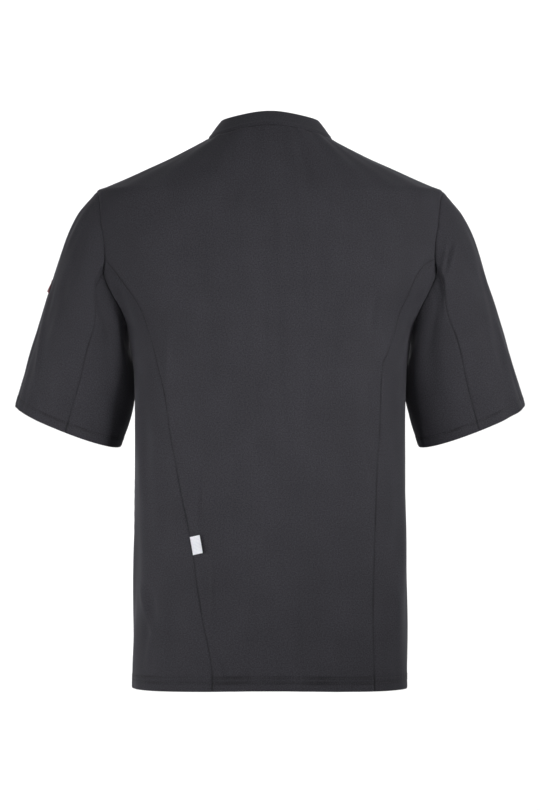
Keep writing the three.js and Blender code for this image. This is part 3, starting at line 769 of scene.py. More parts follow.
@dataclass(frozen=True)
class SeamRelief:
    """How cloth lies beside a plain sewn seam, and the shade painted into its groove."""

    depth: float = 0.55
    width: float = 1.1
    ridge: float = 0.3
    ridge_off: float = 5.0
    ridge_width: float = 2.6
    pucker: float = 0.28
    pitch: float = 14.0
    reach: float = 9.0
    # Half width of the shade painted into the seam's groove.
    painted_shade_width: float = 0.95
    mean_tension: float = 0.7
    tightness: Drift = Drift(29, 12.5, 0.6, 1.4)
    strength: Drift = Drift(37, 83, 0.8)

    def tension(self, along: Array) -> Array:
        """How tight the seam is along its length: its mean, and a drift that takes it up to 1."""
        return self.mean_tension + (1 - self.mean_tension) * self.tightness.at(along)

    def shade(self, off: Array, along: Array) -> Array:
        """Painted shade in the seam's groove, a narrow bell curve across it times its tension."""
        return self.tension(along) * np.exp(-(off / self.painted_shade_width) ** 2)

    def height(self, off: Array, along: Array) -> Array:
        """Heights of the cloth by the seam.

        Args:
            off: Distances from the seam in mm.
            along: Distances along it.

        Returns:
            A dip at the seam, a soft ridge over the turnings beside it, and puckers across it whose
            strength and pitch drift along the seam and which fade away from it.
        """
        dip = -self.depth * self.tension(along) * np.exp(-(off / self.width) ** 2)
        ridge = self.ridge * np.exp(-((off - self.ridge_off) / self.ridge_width) ** 2)
        phase = 2 * np.pi * along / self.pitch + 1.7 * np.sin(along / 23) + 1.1 * np.sin(along / 61)
        strength = 0.5 + 0.5 * self.strength.at(along)
        pucker = self.pucker * strength * np.sin(phase) * np.exp(-(off / self.reach) ** 2)
        return dip + ridge + pucker


# The share by which the shade painted into seams is weaker above the back seams' ends, and how far up
# it takes to get there.
SEAM_LOSS, SEAM_LOSS_OVER = 0.6, 25.0


def hold(points: Array) -> Array:
    """How strongly the painted seam shade shows at points: in full below where the back seams end, and
    less above it.
    """
    return 1 - SEAM_LOSS * smooth((points[..., 2] - JUNCTION_Z) / SEAM_LOSS_OVER)


@dataclass(frozen=True)
class HemRelief:
    """A turned hem held by lines of stitching, with shade painted into their grooves."""

    lines: tuple[float, ...]
    rise: float = 0.45
    edge: float = 0.5
    edge_width: float = 0.9
    groove: float = 0.4
    groove_width: float = 0.9
    wave: float = 0.22
    wave_pitch: float = 9.0
    wave_reach: float = 6.0
    # Strength of the shade painted into the stitch grooves, and its drift along the hem.
    painted_shade: float = 0.95
    painted_shade_drift: Drift = Drift(31, 13)

    def grooves(self, off: Array) -> Array:
        """Nearness to the lines of stitches, a narrow bell curve across each."""
        return sum(np.exp(-((off - line) / self.groove_width) ** 2) for line in self.lines)

    def shade(self, off: Array, along: Array) -> Array:
        """Painted shade in the stitch grooves, whose strength drifts along the hem."""
        return self.painted_shade * self.grooves(off) * (0.6 + 0.4 * self.painted_shade_drift.at(along))

    def height(self, off: Array, along: Array) -> Array:
        """Heights of the cloth by the hem.

        Args:
            off: Distances above the hem's edge in mm.
            along: Distances along it.

        Returns:
            A rise over the turning, a groove under each line of stitches, a rounded edge, and slight
            waves between the stitches, strongest near the lines.
        """
        top = max(self.lines)
        edge = self.edge * np.exp(-(off / self.edge_width) ** 2)
        rise = self.rise * (1 - smooth((off - top + 0.6) / 1.4)) - edge
        phase = 2 * np.pi * along / self.wave_pitch + 1.3 * np.sin(along / 19)
        waves = self.wave * np.sin(phase) * np.exp(-((off - top) / self.wave_reach) ** 2)
        return rise - self.groove * self.grooves(off) + waves * (0.6 + 0.4 * np.sin(along / 47))


SEAM = SeamRelief()
HEM = HemRelief(lines=(11.5, 18.0))
CUFF = HemRelief(lines=(13.0,))


@dataclass(frozen=True)
class Drape:
    """The faint unevenness of cloth that hangs: long soft ripples, mostly upright."""

    seed: int
    waves: int = 26
    height: float = 0.11
    across: tuple[float, float] = (24.0, 80.0)
    along: tuple[float, float] = (110.0, 420.0)

    def heights(self, u: Array, v: Array) -> Array:
        """Heights of the ripples.

        Args:
            u: Distances across the cloth in mm.
            v: Distances along it.

        Returns:
            The sum of sine waves whose lengths, ways and starts are drawn from the seed.
        """
        draw = np.random.default_rng(self.seed)
        k_across = 2 * np.pi / draw.uniform(*self.across, self.waves)
        k_along = 2 * np.pi / draw.uniform(*self.along, self.waves) * draw.choice([-1, 1], self.waves)
        phase = draw.uniform(0, 2 * np.pi, self.waves)
        total = np.zeros_like(u)
        for a, b, start in zip(k_across, k_along, phase):
            total += np.sin(a * u + b * v + start)
        return self.height * total


# Small creases: out at top, top, out at bottom, bottom, half width, height.
BACK_CREASES = np.array([
    (90.5, -436, 91.0, -532, 3.0, -2.4),
    (75.0, -536, 77.0, -650, 3.0, 1.9),
    (81.5, -536, 83.0, -655, 4.0, -1.0),
    (132.0, -250, 136.5, -330, 4.0, 1.7),
    (125.5, -250, 130.0, -345, 5.5, -0.7),
    (172.0, -590, 153.0, -662, 4.5, 2.3),
    (153.0, -640, 163.0, -708, 4.5, 2.3),
    (163.0, -585, 144.0, -650, 5.0, -1.0),
    (172.0, -400, 170.0, -488, 5.0, 1.8),
    (35.0, -560, 33.0, -690, 26.0, -1.8),
    (118.0, -420, 117.0, -480, 7.0, -1.2),
    (-117.0, -400, -138.0, -466, 4.0, -1.3),
    (-110.0, -392, -131.0, -458, 5.0, 0.8),
    (-140.0, -196, -130.0, -268, 4.5, -1.2),
    (-147.0, -200, -138.0, -280, 4.0, 1.1),
    (-127.0, -290, -139.0, -380, 4.5, 0.9),
    (13.0, -225, 12.0, -275, 8.0, -0.9),
    (-13.0, -98, -13.5, -156, 3.0, 0.6),
    (-82.0, -66, -83.0, -124, 3.5, 0.6),
    (126.0, -112, 124.0, -164, 4.0, 0.5),
    (69.0, -684, 57.0, -724, 5.0, 1.8),
    (4.0, -606, 3.0, -694, 6.0, 0.8),
    (-105.0, -604, -106.0, -684, 6.0, 0.7),
    (-168.0, -590, -170.0, -656, 4.5, 1.0),
    (202.0, -190, 183.0, -262, 7.0, -2.0),
    (-210.0, -158, -191.0, -222, 5.5, -1.9),
    (-219.0, -160, -198.0, -222, 3.5, 1.1),
])
SLEEVE_CREASES = np.array([
    (302.0, -232, 314.0, -338, 3.2, 1.5),
    (296.0, -232, 306.0, -338, 5.0, -0.7),
    (219.0, -190, 212.0, -262, 7.0, -2.2),
    (242.0, -372, 238.0, -396, 4.0, 0.9),
    (-235.5, -130, -226.0, -184, 2.4, 1.7),
    (-241.0, -138, -230.5, -186, 3.0, -2.4),
    (-247.0, -134, -236.5, -182, 3.6, 1.4),
    (-271.0, -205, -310.0, -330, 4.5, 1.1),
    (-222.0, -200, -208.0, -262, 8.0, -1.2),
])
# How far behind the middle plane the creases reach their full height.
CREASE_FADE = 30.0


def creases(table: Array, points: Array) -> Array:
    """Heights of small creases on the side that faces back, measured across and up the picture.

    Args:
        table: One row for each crease, whose columns are its distances from the middle and heights at
            its top and bottom, its half width, and how far it stands out.
        points: Points of a piece.

    Returns:
        For each crease, half a sine wave down it times a bell curve across it.
    """
    x, y, z = points[..., 0, None], points[..., 1], points[..., 2, None]
    out_top, top, out_bottom, bottom, width, height = table.T
    share = (z - top) / (bottom - top)
    off = (x - out_top - (out_bottom - out_top) * share) / width
    along = np.where((share > 0) & (share < 1), np.sin(np.pi * np.clip(share, 0, 1)), 0)
    return (height * along * np.exp(-off * off)).sum(-1) * smooth(y / CREASE_FADE)


def shell_faces(rows: int, columns: int) -> tuple[Array, Array]:
    """Faces of a closed wall over a grid.

    Args:
        rows: How many rows of points it has.
        columns: How many points a row has.

    Returns:
        Corner numbers of the faces of both sides, and of the rim between them. The inner side's points
        follow the outer side's.
    """
    index = np.arange(rows * columns).reshape(rows, columns)
    quads = np.stack([index[:-1, :-1], index[:-1, 1:], index[1:, 1:], index[1:, :-1]], -1)
    outer = quads.reshape(-1, 4)
    inner = outer[:, ::-1] + index.size
    loop = np.concatenate([index[0, :-1], index[:-1, -1], index[-1, :0:-1], index[:0:-1, 0]])
    after = np.roll(loop, -1)
    rim = np.stack([after, loop, loop + index.size, after + index.size], -1)
    return np.vstack([outer, inner]), rim


def add_mesh(name: str, points: Array, faces: Array, flat_faces: Array | None = None,
             uv: Array | None = None, shade: Array | None = None) -> bpy.types.Object:
    """Make an object from arrays.

    Args:
        name: The object's name.
        points: Its points in mm.
        faces: Corner numbers of its smooth faces.
        flat_faces: Those of faces that are shaded flat, after the smooth ones.
        uv: Each point's place in the flat cloth, in metres.
        shade: Each point's painted shade from seam and hem grooves, from 0 to 1.

    Returns:
        The object, linked to the scene.
    """
    every = faces if flat_faces is None else np.vstack([faces, flat_faces])
    mesh = bpy.data.meshes.new(name)
    mesh.from_pydata((points * METRES).tolist(), [], every.tolist())
    mesh.polygons.foreach_set("use_smooth", np.arange(len(every)) < len(faces))
    corners = every.ravel()
    if uv is not None:
        mesh.uv_layers.new(name="cloth").data.foreach_set("uv", uv[corners].ravel())
    # The seam attribute holds shade painted into the grooves of seams and hems.
    if shade is not None:
        mesh.attributes.new("seam", "FLOAT", "POINT").data.foreach_set("value", shade)
    mesh.update()
    thing = bpy.data.objects.new(name, mesh)
    bpy.context.scene.collection.objects.link(thing)
    return thing


def shell(name: str, grid: ClothGrid, thickness: float, shade: Array | None = None,
          uv_turn: bool = False) -> bpy.types.Object:
    """Make a closed wall of cloth over a grid.

    Args:
        name: The object's name.
        grid: The cloth's outside.
        thickness: The wall's thickness in mm.
        shade: Each point's painted shade from seam and hem grooves, from 0 to 1.
        uv_turn: Whether the weave runs across the columns.

    Returns:
        The object.
    """
    rows, columns = grid.points.shape[:2]
    outer = grid.points.reshape(-1, 3)
    inner = outer - thickness * grid.ups.reshape(-1, 3)
    faces, rim = shell_faces(rows, columns)
    a, b, c = (grid.points[rows // 2 + i, columns // 2 + j] for i, j in ((0, 0), (0, 1), (1, 0)))
    if np.dot(np.cross(b - a, c - a), grid.normals[rows // 2, columns // 2]) < 0:
        faces, rim = faces[:, ::-1], rim[:, ::-1]
    across, up = grid.first - grid.first[:, -1:] / 2, grid.low
    uv = np.stack([up, across] if uv_turn else [across, up], -1).reshape(-1, 2) * METRES
    shade = np.zeros(rows * columns) if shade is None else shade.ravel()
    return add_mesh(name, np.vstack([outer, inner]), faces, rim, np.tile(uv, (2, 1)),
                    np.tile(shade, 2))


def linear(hex_colour: str) -> tuple[float, float, float, float]:
    """Turn a colour to linear light by the sRGB curve.

    Args:
        hex_colour: Its six sRGB hex digits after a hash sign.

    Returns:
        Red, green, blue and full opacity.
    """
    parts = np.array([int(hex_colour[i:i + 2], 16) for i in (1, 3, 5)]) / 255
    light = np.where(parts <= 0.04045, parts / 12.92, ((parts + 0.055) / 1.055) ** 2.4)
    return (*light.tolist(), 1.0)


def add_node(tree: bpy.types.NodeTree, kind: str, settings: dict[str, object] | None = None,
             inputs: dict[str | int, object] | None = None) -> bpy.types.Node:
    """Add a node to a material.

    Args:
        tree: The material's nodes.
        kind: The node's type name.
        settings: Its properties.
        inputs: What its sockets get: an output socket is linked, and any other value is set.

    Returns:
        The node.
    """
    node = tree.nodes.new(kind)
    for name, value in (settings or {}).items():
        setattr(node, name, value)
    for name, value in (inputs or {}).items():
        if isinstance(value, bpy.types.NodeSocket):
            tree.links.new(value, node.inputs[name])
        else:
            node.inputs[name].default_value = value
    return node


# How far apart a wave texture's bands are at scale 1, when they run square to an axis, when they are
# diagonal on a flat piece's UV map, and when they are diagonal in space.
AXIS_BANDS = 2 * math.pi / 20
FLAT_DIAGONAL_BANDS, SPACE_DIAGONAL_BANDS = (2 * math.pi / 10 / math.sqrt(n) for n in (2, 3))


@dataclass(frozen=True)
class Finish:
    """What a surface is made of, whose shader its own class builds."""

    name: str

    def shader(self, tree: bpy.types.NodeTree) -> bpy.types.Node:
        """Add the finish's nodes to an empty material.

        Args:
            tree: The material's nodes.

        Returns:
            The shader.
        """
        raise NotImplementedError

    def material(self) -> bpy.types.Material:
        """Make the finish's material.

        Returns:
            The material, whose shader reaches its surface output.
        """
        made = bpy.data.materials.new(self.name)
        made.use_nodes = True
        tree = made.node_tree
        tree.nodes.clear()
        surface = self.shader(tree).outputs["BSDF"]
        add_node(tree, "ShaderNodeOutputMaterial", None, {"Surface": surface})
        return made


@dataclass(frozen=True)
class ClothFinish(Finish):
    """Smooth piece-dyed polyester and cotton twill with a little stretch.

    The dyed yarn is charcoal, matt with a faint sheen where it turns away. Its threads are 0.35 mm
    apart, which is too fine to show, so the twill's lines are drawn twill_mm apart, and the flecks,
    which are slubs of a fraction of a millimetre, at fleck_mm.
    """

    base: str
    thin: str
    roughness: float = 0.82
    twill_mm: float = 4.464
    fleck_mm: float = 1.7
    mottle_mm: float = 55.0
    bump_mm: float = 0.05
    sheen: float = 0.22

    def shader(self, tree: bpy.types.NodeTree) -> bpy.types.Node:
        """Build the cloth's shader.

        Args:
            tree: The material's empty nodes.

        Returns:
            The shader, with twill bump, flecks of lighter yarn, mottling, and shade painted into the
            seam and hem grooves.
        """
        uv = add_node(tree, "ShaderNodeUVMap", {"uv_map": "cloth"}).outputs["UV"]
        twill = add_node(tree, "ShaderNodeTexWave", {"bands_direction": "DIAGONAL"}, {
            "Vector": uv, "Scale": FLAT_DIAGONAL_BANDS / (self.twill_mm * METRES),
            "Distortion": 0.6, "Detail": 1.0, "Detail Scale": 2.0})
        fleck = add_node(tree, "ShaderNodeTexNoise", {"noise_dimensions": "2D"}, {
            "Vector": uv, "Scale": 1 / (self.fleck_mm * METRES), "Detail": 3.0, "Roughness": 0.65})
        mottle = add_node(tree, "ShaderNodeTexNoise", {"noise_dimensions": "2D"}, {
            "Vector": uv, "Scale": 1 / (self.mottle_mm * METRES), "Detail": 2.0, "Roughness": 0.5})
        fleck_share = add_node(tree, "ShaderNodeMapRange", None, {
            "Value": fleck.outputs["Fac"], "From Min": 0.3, "From Max": 0.72})
        yarn = add_node(tree, "ShaderNodeMix", {"data_type": "RGBA"}, {
            "Factor": fleck_share.outputs["Result"], 6: linear(self.base), 7: linear(self.thin)})
        tone = add_node(tree, "ShaderNodeMapRange", None, {
            "Value": mottle.outputs["Fac"], "From Min": 0.25, "From Max": 0.75,
            "To Min": 0.92, "To Max": 1.08})
        # Shade painted into the grooves of seams and hems, from the seam attribute, scales the colour
        # down to 0.3 where strongest.
        seam = add_node(tree, "ShaderNodeAttribute", {"attribute_name": "seam"})
        painted_shade = add_node(tree, "ShaderNodeMapRange", None, {
            "Value": seam.outputs["Fac"], "To Min": 1.0, "To Max": 0.3})
        # Random tone times the painted groove shade.
        both = add_node(tree, "ShaderNodeMath", {"operation": "MULTIPLY"}, {
            0: tone.outputs["Result"], 1: painted_shade.outputs["Result"]})
        colour = add_node(tree, "ShaderNodeVectorMath", {"operation": "SCALE"}, {
            0: yarn.outputs[2], "Scale": both.outputs["Value"]})
        grain = add_node(tree, "ShaderNodeMath", {"operation": "ADD"}, {
            0: twill.outputs["Fac"], 1: fleck.outputs["Fac"]})
        bump = add_node(tree, "ShaderNodeBump", None, {
            "Height": grain.outputs["Value"], "Distance": self.bump_mm * METRES, "Strength": 0.5})
        return add_node(tree, "ShaderNodeBsdfPrincipled", None, {
            "Base Color": colour.outputs["Vector"], "Roughness": self.roughness, "IOR": 1.46,
            "Specular IOR Level": 0.35, "Sheen Weight": self.sheen, "Sheen Roughness": 0.45,
            "Sheen Tint": linear("#c9c9d2"), "Normal": bump.outputs["Normal"]})


@dataclass(frozen=True)
class ThreadFinish(Finish):
    """Spun polyester sewing thread, a little glossier than the cloth, and drawn darker than it, a
    darkness that also stands in for the shade of the stitch grooves.

    The twist of its plies is drawn a few times coarser than the real one.
    """

    name: str = "polyester_thread"
    # The thread's dark colour is partly painted shade for the grooves it lies in.
    base: str = "#1d1c20"
    ply_mm: float = 0.9113
    bump_mm: float = 0.03

    def shader(self, tree: bpy.types.NodeTree) -> bpy.types.Node:
        """Build the thread's shader.

        Args:
            tree: The material's empty nodes.

        Returns:
            The shader, with the twist of its plies as bump.
        """
        place = add_node(tree, "ShaderNodeTexCoord").outputs["Object"]
        ply = add_node(tree, "ShaderNodeTexWave", {"bands_direction": "DIAGONAL"}, {
            "Vector": place, "Scale": SPACE_DIAGONAL_BANDS / (self.ply_mm * METRES)})
        bump = add_node(tree, "ShaderNodeBump", None, {
            "Height": ply.outputs["Fac"], "Distance": self.bump_mm * METRES, "Strength": 0.4})
        return add_node(tree, "ShaderNodeBsdfPrincipled", None, {
            "Base Color": linear(self.base), "Roughness": 0.55, "IOR": 1.5,
            "Normal": bump.outputs["Normal"]})


@dataclass(frozen=True)
class TapeFinish(Finish):
    """Woven polyester tape, such as a bare tag is cut from, with fine ribs across it.

    The ribs are drawn rib_mm apart, which is two to three times as coarse as real ones.
    """

    base: str
    shade: str
    rib_mm: float = 1.7756
    mottle_mm: float = 2.5
    bump_mm: float = 0.08

    def shader(self, tree: bpy.types.NodeTree) -> bpy.types.Node:
        """Build the tape's shader.

        Args:
            tree: The material's empty nodes.

        Returns:
            The shader, with ribs in colour and bump over a slight mottle.
        """
        uv = add_node(tree, "ShaderNodeUVMap", {"uv_map": "cloth"}).outputs["UV"]
        rib = add_node(tree, "ShaderNodeTexWave", {"bands_direction": "Y"}, {
            "Vector": uv, "Scale": AXIS_BANDS / (self.rib_mm * METRES), "Distortion": 0.4})
        mottle = add_node(tree, "ShaderNodeTexNoise", {"noise_dimensions": "2D"}, {
            "Vector": uv, "Scale": 1 / (self.mottle_mm * METRES), "Detail": 2.0})
        share = add_node(tree, "ShaderNodeMath", {"operation": "MULTIPLY"}, {
            0: rib.outputs["Fac"], 1: mottle.outputs["Fac"]})
        colour = add_node(tree, "ShaderNodeMix", {"data_type": "RGBA"}, {
            "Factor": share.outputs["Value"], 6: linear(self.base), 7: linear(self.shade)})
        bump = add_node(tree, "ShaderNodeBump", None, {
            "Height": rib.outputs["Fac"], "Distance": self.bump_mm * METRES, "Strength": 0.5})
        return add_node(tree, "ShaderNodeBsdfPrincipled", None, {
            "Base Color": colour.outputs[2], "Roughness": 0.6, "IOR": 1.5,
            "Sheen Weight": 0.2, "Normal": bump.outputs["Normal"]})


@dataclass(frozen=True)
class StudFinish(Finish):
    """Moulded acetal, satin from its tool, with faint flow marks a few millimetres apart."""

    name: str = "moulded_acetal"
    base: str = "#29282c"
    mark_mm: float = 2.857

    def shader(self, tree: bpy.types.NodeTree) -> bpy.types.Node:
        """Build the stud's shader.

        Args:
            tree: The material's empty nodes.

        Returns:
            The shader, whose flow marks vary its gloss.
        """
        place = add_node(tree, "ShaderNodeTexCoord").outputs["Object"]
        marks = add_node(tree, "ShaderNodeTexNoise", None, {
            "Vector": place, "Scale": 1 / (self.mark_mm * METRES), "Detail": 3.0})
        gloss = add_node(tree, "ShaderNodeMapRange", None, {
            "Value": marks.outputs["Fac"], "To Min": 0.32, "To Max": 0.48})
        return add_node(tree, "ShaderNodeBsdfPrincipled", None, {
            "Base Color": linear(self.base), "Roughness": gloss.outputs["Result"], "IOR": 1.48})


@dataclass(frozen=True)
class PaperFinish(Finish):
    """Matt white background paper, barely uneven in tone over patches of patch_mm."""

    name: str = "matt_paper"
    base: str = "#fbfbfb"
    worn: str = "#f6f6f6"
    patch_mm: float = 333.3

    def shader(self, tree: bpy.types.NodeTree) -> bpy.types.Node:
        """Build the paper's shader.

        Args:
            tree: The material's empty nodes.

        Returns:
            The shader.
        """
        place = add_node(tree, "ShaderNodeTexCoord").outputs["Object"]
        grain = add_node(tree, "ShaderNodeTexNoise", None, {
            "Vector": place, "Scale": 1 / (self.patch_mm * METRES)})
        colour = add_node(tree, "ShaderNodeMix", {"data_type": "RGBA"}, {
            "Factor": grain.outputs["Fac"], 6: linear(self.base), 7: linear(self.worn)})
        return add_node(tree, "ShaderNodeBsdfPrincipled", None, {
            "Base Color": colour.outputs[2], "Roughness": 0.9})


@dataclass
class Finishes:
    """One material of each finish."""

    def __post_init__(self) -> None:
        """Build the materials."""
        self.cloth = ClothFinish("charcoal_twill", "#26252a", "#3d3c42").material()
        self.thread = ThreadFinish().material()
        self.stud = StudFinish().material()
        self.white = TapeFinish("white_woven_tape", "#fcfcff", "#cfd5e6").material()
        self.red = TapeFinish("red_woven_tape", "#78141c", "#4c0b12").material()


@dataclass(frozen=True)
class Cut:
    """The flat piece that a sheet was cut to, in metres and square metres."""

    width: float
    length: float
    area: float


@dataclass
class Forms:
    """The forms that all the pieces lie on.

    Its pairs of turns are the parts of the armhole in which the ends of seams are looked for.
    """

    DOWN_THE_BACK, UNDERARM, SHOULDER = (20, 150), (170, 210), (330, 359.9)

    body: BodyForm = field(default_factory=BodyForm)

    def __post_init__(self) -> None:
        """Make the sleeves, collar and mitres, and find where the seams meet the armhole."""
        self.sleeves = {hand: SleeveForm(self.body, hand) for hand in Hand}
        self.collar = CollarForm(self.body)
        self.mitres = Mitres(self.body, self.sleeves, self.collar)
        find = self.body.turn_where
        self.underarm = find(Measure.ANGLE, SIDE_SEAM_ANGLE, *self.UNDERARM)
        self.shoulder = find(Measure.ANGLE, SHOULDER_SEAM_ANGLE, *self.SHOULDER) - FULL_TURN
        self.junction = find(Measure.SIDE, JUNCTION_Z, *self.DOWN_THE_BACK)
        self.sleeve_seam = find(Measure.SIDE, SLEEVE_SEAM_TOP_Z, *self.DOWN_THE_BACK)

    def hole_line(self, start: float, end: float, hand: Hand) -> Line:
        """Line along an armhole.

        Args:
            start: The turn that it starts at.
            end: The turn that it ends at.
            hand: The wearer's side.

        Returns:
            The line.
        """
        def make(share: Array) -> Array:
            """Places at rough shares of it."""
            turn = blend(start, end, share)
            angle, side = self.body.hole(turn)
            return places_of(hand.value * angle, side, turn)
        return Line(self.body, make)

    def back_seam(self, hand: Hand) -> Line:
        """Line up a back seam from the hem to the armhole.

        Args:
            hand: The wearer's side.

        Returns:
            The line.
        """
        def make(share: Array) -> Array:
            """Places at rough shares of it."""
            side = blend(HEM_Z, JUNCTION_Z, share)
            out = self.body.BACK_SEAMS[hand].read("out", side)
            return places_of(hand.value * self.body.angle_at(out, side, Face.BACK), side)
        return Line(self.body, make)

    def side_seam(self, hand: Hand) -> Line:
        """Line up a side seam from the hem to the underarm."""
        top, angle = float(self.body.hole(self.underarm)[1]), hand.value * SIDE_SEAM_ANGLE
        return Line(self.body, lambda share: places_of(angle, blend(HEM_Z, top, share)))

    def shoulder_seam(self, hand: Hand) -> Line:
        """Line along a shoulder seam from the armhole to the neck."""
        start, angle = float(self.body.hole(self.shoulder)[1]), hand.value * SHOULDER_SEAM_ANGLE
        return Line(self.body, lambda share: places_of(angle, blend(start, NECK_Z, share)))

    def ring_line(self, side: float, start: float, end: float, neck: bool = False) -> Line:
        """Line round a ring between two angles."""
        return Line(self.body, lambda share: places_of(blend(start, end, share), side, neck=neck))

    def front_edge(self, hand: Hand) -> Line:
        """Line up the free edge of a front, a lap's width past the middle.

        Args:
            hand: The wearer's side.

        Returns:
            The line.
        """
        def make(share: Array) -> Array:
            """Places at rough shares of it."""
            side = blend(HEM_Z, NECK_Z, share)
            lap = np.arctan(self.body.lap / self.body.RINGS.read("front", side))
            return places_of(hand.value * (math.pi + lap), side)
        return Line(self.body, make)


def chain(parts: Sequence[Array]) -> Array:
    """Join runs of places whose ends are shared, keeping the later run's end."""
    return np.vstack([part[:-1] for part in parts[:-1]] + [parts[-1]])


def joined(first: Array, first_length: float, second: Array, second_length: float) -> Array:
    """Shares of the length of two lines that meet, from the shares of each."""
    places = np.append(first[:-1] * first_length, first_length + second * second_length)
    return places / (first_length + second_length)


def copies(centres: Array, axes: Sequence[tuple[Array, Array]]) -> Array:
    """Lay out the points of a shape at each of a number of centres.

    Args:
        centres: The centres.
        axes: Pairs of one way for each centre, and the distances of the shape's points along it.

    Returns:
        All the points: each centre, plus each way times the distance along it.
    """
    parts = [way[:, None, None, :] * far[None, :, :, None] for way, far in axes]
    return (centres[:, None, None, :] + sum(parts)).reshape(-1, 3)


def tube_faces(rings: int, sides: int) -> Array:
    """Faces of a tube, which are quads between neighbouring rings of points.

    Args:
        rings: How many rings it has, numbered one after the other.
        sides: How many points a ring has.

    Returns:
        Corner numbers.
    """
    index = np.arange(rings * sides).reshape(rings, sides)
    after = np.roll(index, -1, axis=1)
    return np.stack([index[:-1], index[1:], after[1:], after[:-1]], -1).reshape(-1, 4)


def repeated(faces: Array, count: int, size: int) -> Array:
    """Repeat a shape's faces.

    Args:
        faces: Corner numbers of its faces.
        count: How many copies are wanted.
        size: How many points a copy has.

    Returns:
        Corner numbers for all the copies.
    """
    return (faces[None] + np.arange(count)[:, None, None] * size).reshape(-1, 4)


@dataclass
class Stitches:
    """Lines of lockstitch, each stitch a small rounded lozenge of thread.

    Its profile gives each ring's place along the stitch and radius, as shares of its length and
    radius. A stitch is flattened by flat, and its way is taken from the line within reach of it.
    """

    PROFILE = np.array([(-0.5, 0.35), (-0.28, 1.0), (0.28, 1.0), (0.5, 0.35)])
    SIDES = 6
    END_FACES = ([0, 1, 2, 3], [0, 3, 4, 5])

    name: str
    pitch: float = 3.1
    length: float = 2.5
    radius: float = 0.3
    flat: float = 0.7
    rise: float = 0.12
    reach: float = 0.8

    def build(self, lines: Sequence[tuple[Array, Array]]) -> bpy.types.Object:
        """Make the stitches.

        Args:
            lines: Points and ways out along each line of stitches.

        Returns:
            The stitches as one object. Each is a tube of six-sided rings along the line, narrow at its
            ends, and closed by two faces at each.
        """
        frames = [self._frames(points, ups) for points, ups in lines]
        centre, along, up = (np.vstack(part) for part in zip(*frames))
        phi = 2 * np.pi * np.arange(self.SIDES) / self.SIDES
        radius = self.PROFILE[:, 1, None] * self.radius
        far = (self.PROFILE[:, 0] * self.length)[:, None] * np.ones(self.SIDES)
        points = copies(centre, (
            (along, far), (np.cross(along, up), radius * np.cos(phi)),
            (up, radius * np.sin(phi) * self.flat + self.rise)))
        rings = len(self.PROFILE)
        start, end = np.arange(self.SIDES), np.arange(self.SIDES)[::-1] + (rings - 1) * self.SIDES
        caps = [ring[corners] for corners in self.END_FACES for ring in (start, end)]
        faces = np.vstack([tube_faces(rings, self.SIDES), caps])
        return add_mesh(self.name, points, repeated(faces, len(centre), rings * self.SIDES))

    def _frames(self, points: Array, ups: Array) -> tuple[Array, Array, Array]:
        """Place the stitches of a line, one pitch apart.

        Args:
            points: Points along the line.
            ups: Ways out of the cloth there.

        Returns:
            The stitches' centres, ways along and ways out.
        """
        travelled = np.append(0, np.cumsum(np.linalg.norm(np.diff(points, axis=0), axis=-1)))
        at = np.arange(self.pitch, travelled[-1] - self.pitch / 2, self.pitch)

        def read(values: Array, where: Array) -> Array:
            """Values at distances along the line."""
            return np.stack([np.interp(where, travelled, column) for column in values.T], -1)

        along = unit(read(points, at + self.reach) - read(points, at - self.reach))
        up = read(ups, at)
        return read(points, at), along, unit(up - (up * along).sum(-1, keepdims=True) * along)


def declare(cloth: bpy.types.Object, node: str, finish: bpy.types.Material,
            stitches: Sequence[bpy.types.Object], finishes: Finishes) -> bpy.types.Object:
    """Dress a sheet of cloth, hang it on the frame's body and hide the CAD part it stands for.

    Args:
        cloth: The piece.
        node: The CAD node it stands for.
        finish: Its material.
        stitches: What is sewn on it.
        finishes: All the finishes, for the thread.

    Returns:
        The piece.
    """
    cloth.data.materials.append(finish)
    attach(cloth, BODY)
    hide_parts(node)
    for thing in stitches:
        thing.data.materials.append(finishes.thread)
        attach(thing, BODY)
    LOG.info("%s: %d faces, %d sewn pieces", cloth.name, len(cloth.data.polygons), len(stitches))
    return cloth


@dataclass
class Panel:
    """A piece of the main cloth, with a hem or cuff at its bottom and other edges sewn."""

    TURNED_EDGE, EDGE_NAME = HEM, "hem"

    node: str
    hand: Hand
    cut: Cut

    def build(self, forms: Forms) -> tuple[bpy.types.Object, list[bpy.types.Object]]:
        """Make the piece on the forms and return its cloth, and a list of what is sewn on it."""
        raise NotImplementedError

    def sew(self, grid: ClothGrid, sewn: Sequence[tuple[Array, Array]],
            points: Array) -> tuple[bpy.types.Object, list[bpy.types.Object]]:
        """Make the cloth's wall, with shade painted into its seam and hem grooves, and the stitches of
        its turned edge.

        Args:
            grid: The cloth's outside.
            sewn: Distances from each sewn edge and along it.
            points: The points by whose heights the painted seam shade is held back.

        Returns:
            The cloth, and a list of what is sewn on it.
        """
        # Painted shade for the seam grooves, weaker high up, plus that of the turned edge's stitch
        # grooves.
        seams = sum(SEAM.shade(off, along) for off, along in sewn)
        shade = self.TURNED_EDGE.shade(grid.low, grid.first) + seams * hold(points)
        cloth = shell(f"{self.node}_cloth", grid, CLOTH, shade)
        lines = [grid.line_above_hem(height) for height in self.TURNED_EDGE.lines]
        return cloth, [Stitches(f"{self.node}_{self.EDGE_NAME}_stitches").build(lines)]

    def dress(self, forms: Forms, finishes: Finishes) -> bpy.types.Object:
        cloth, stitches = self.build(forms)
        return declare(cloth, self.node, finishes.cloth, stitches, finishes)


@dataclass
class Edges:
    """Places along a piece's hem, top, first and last edge, with its columns' and rows' shares."""

    low: Array
    high: Array
    first: Array
    last: Array
    columns: Array
    rows: Array


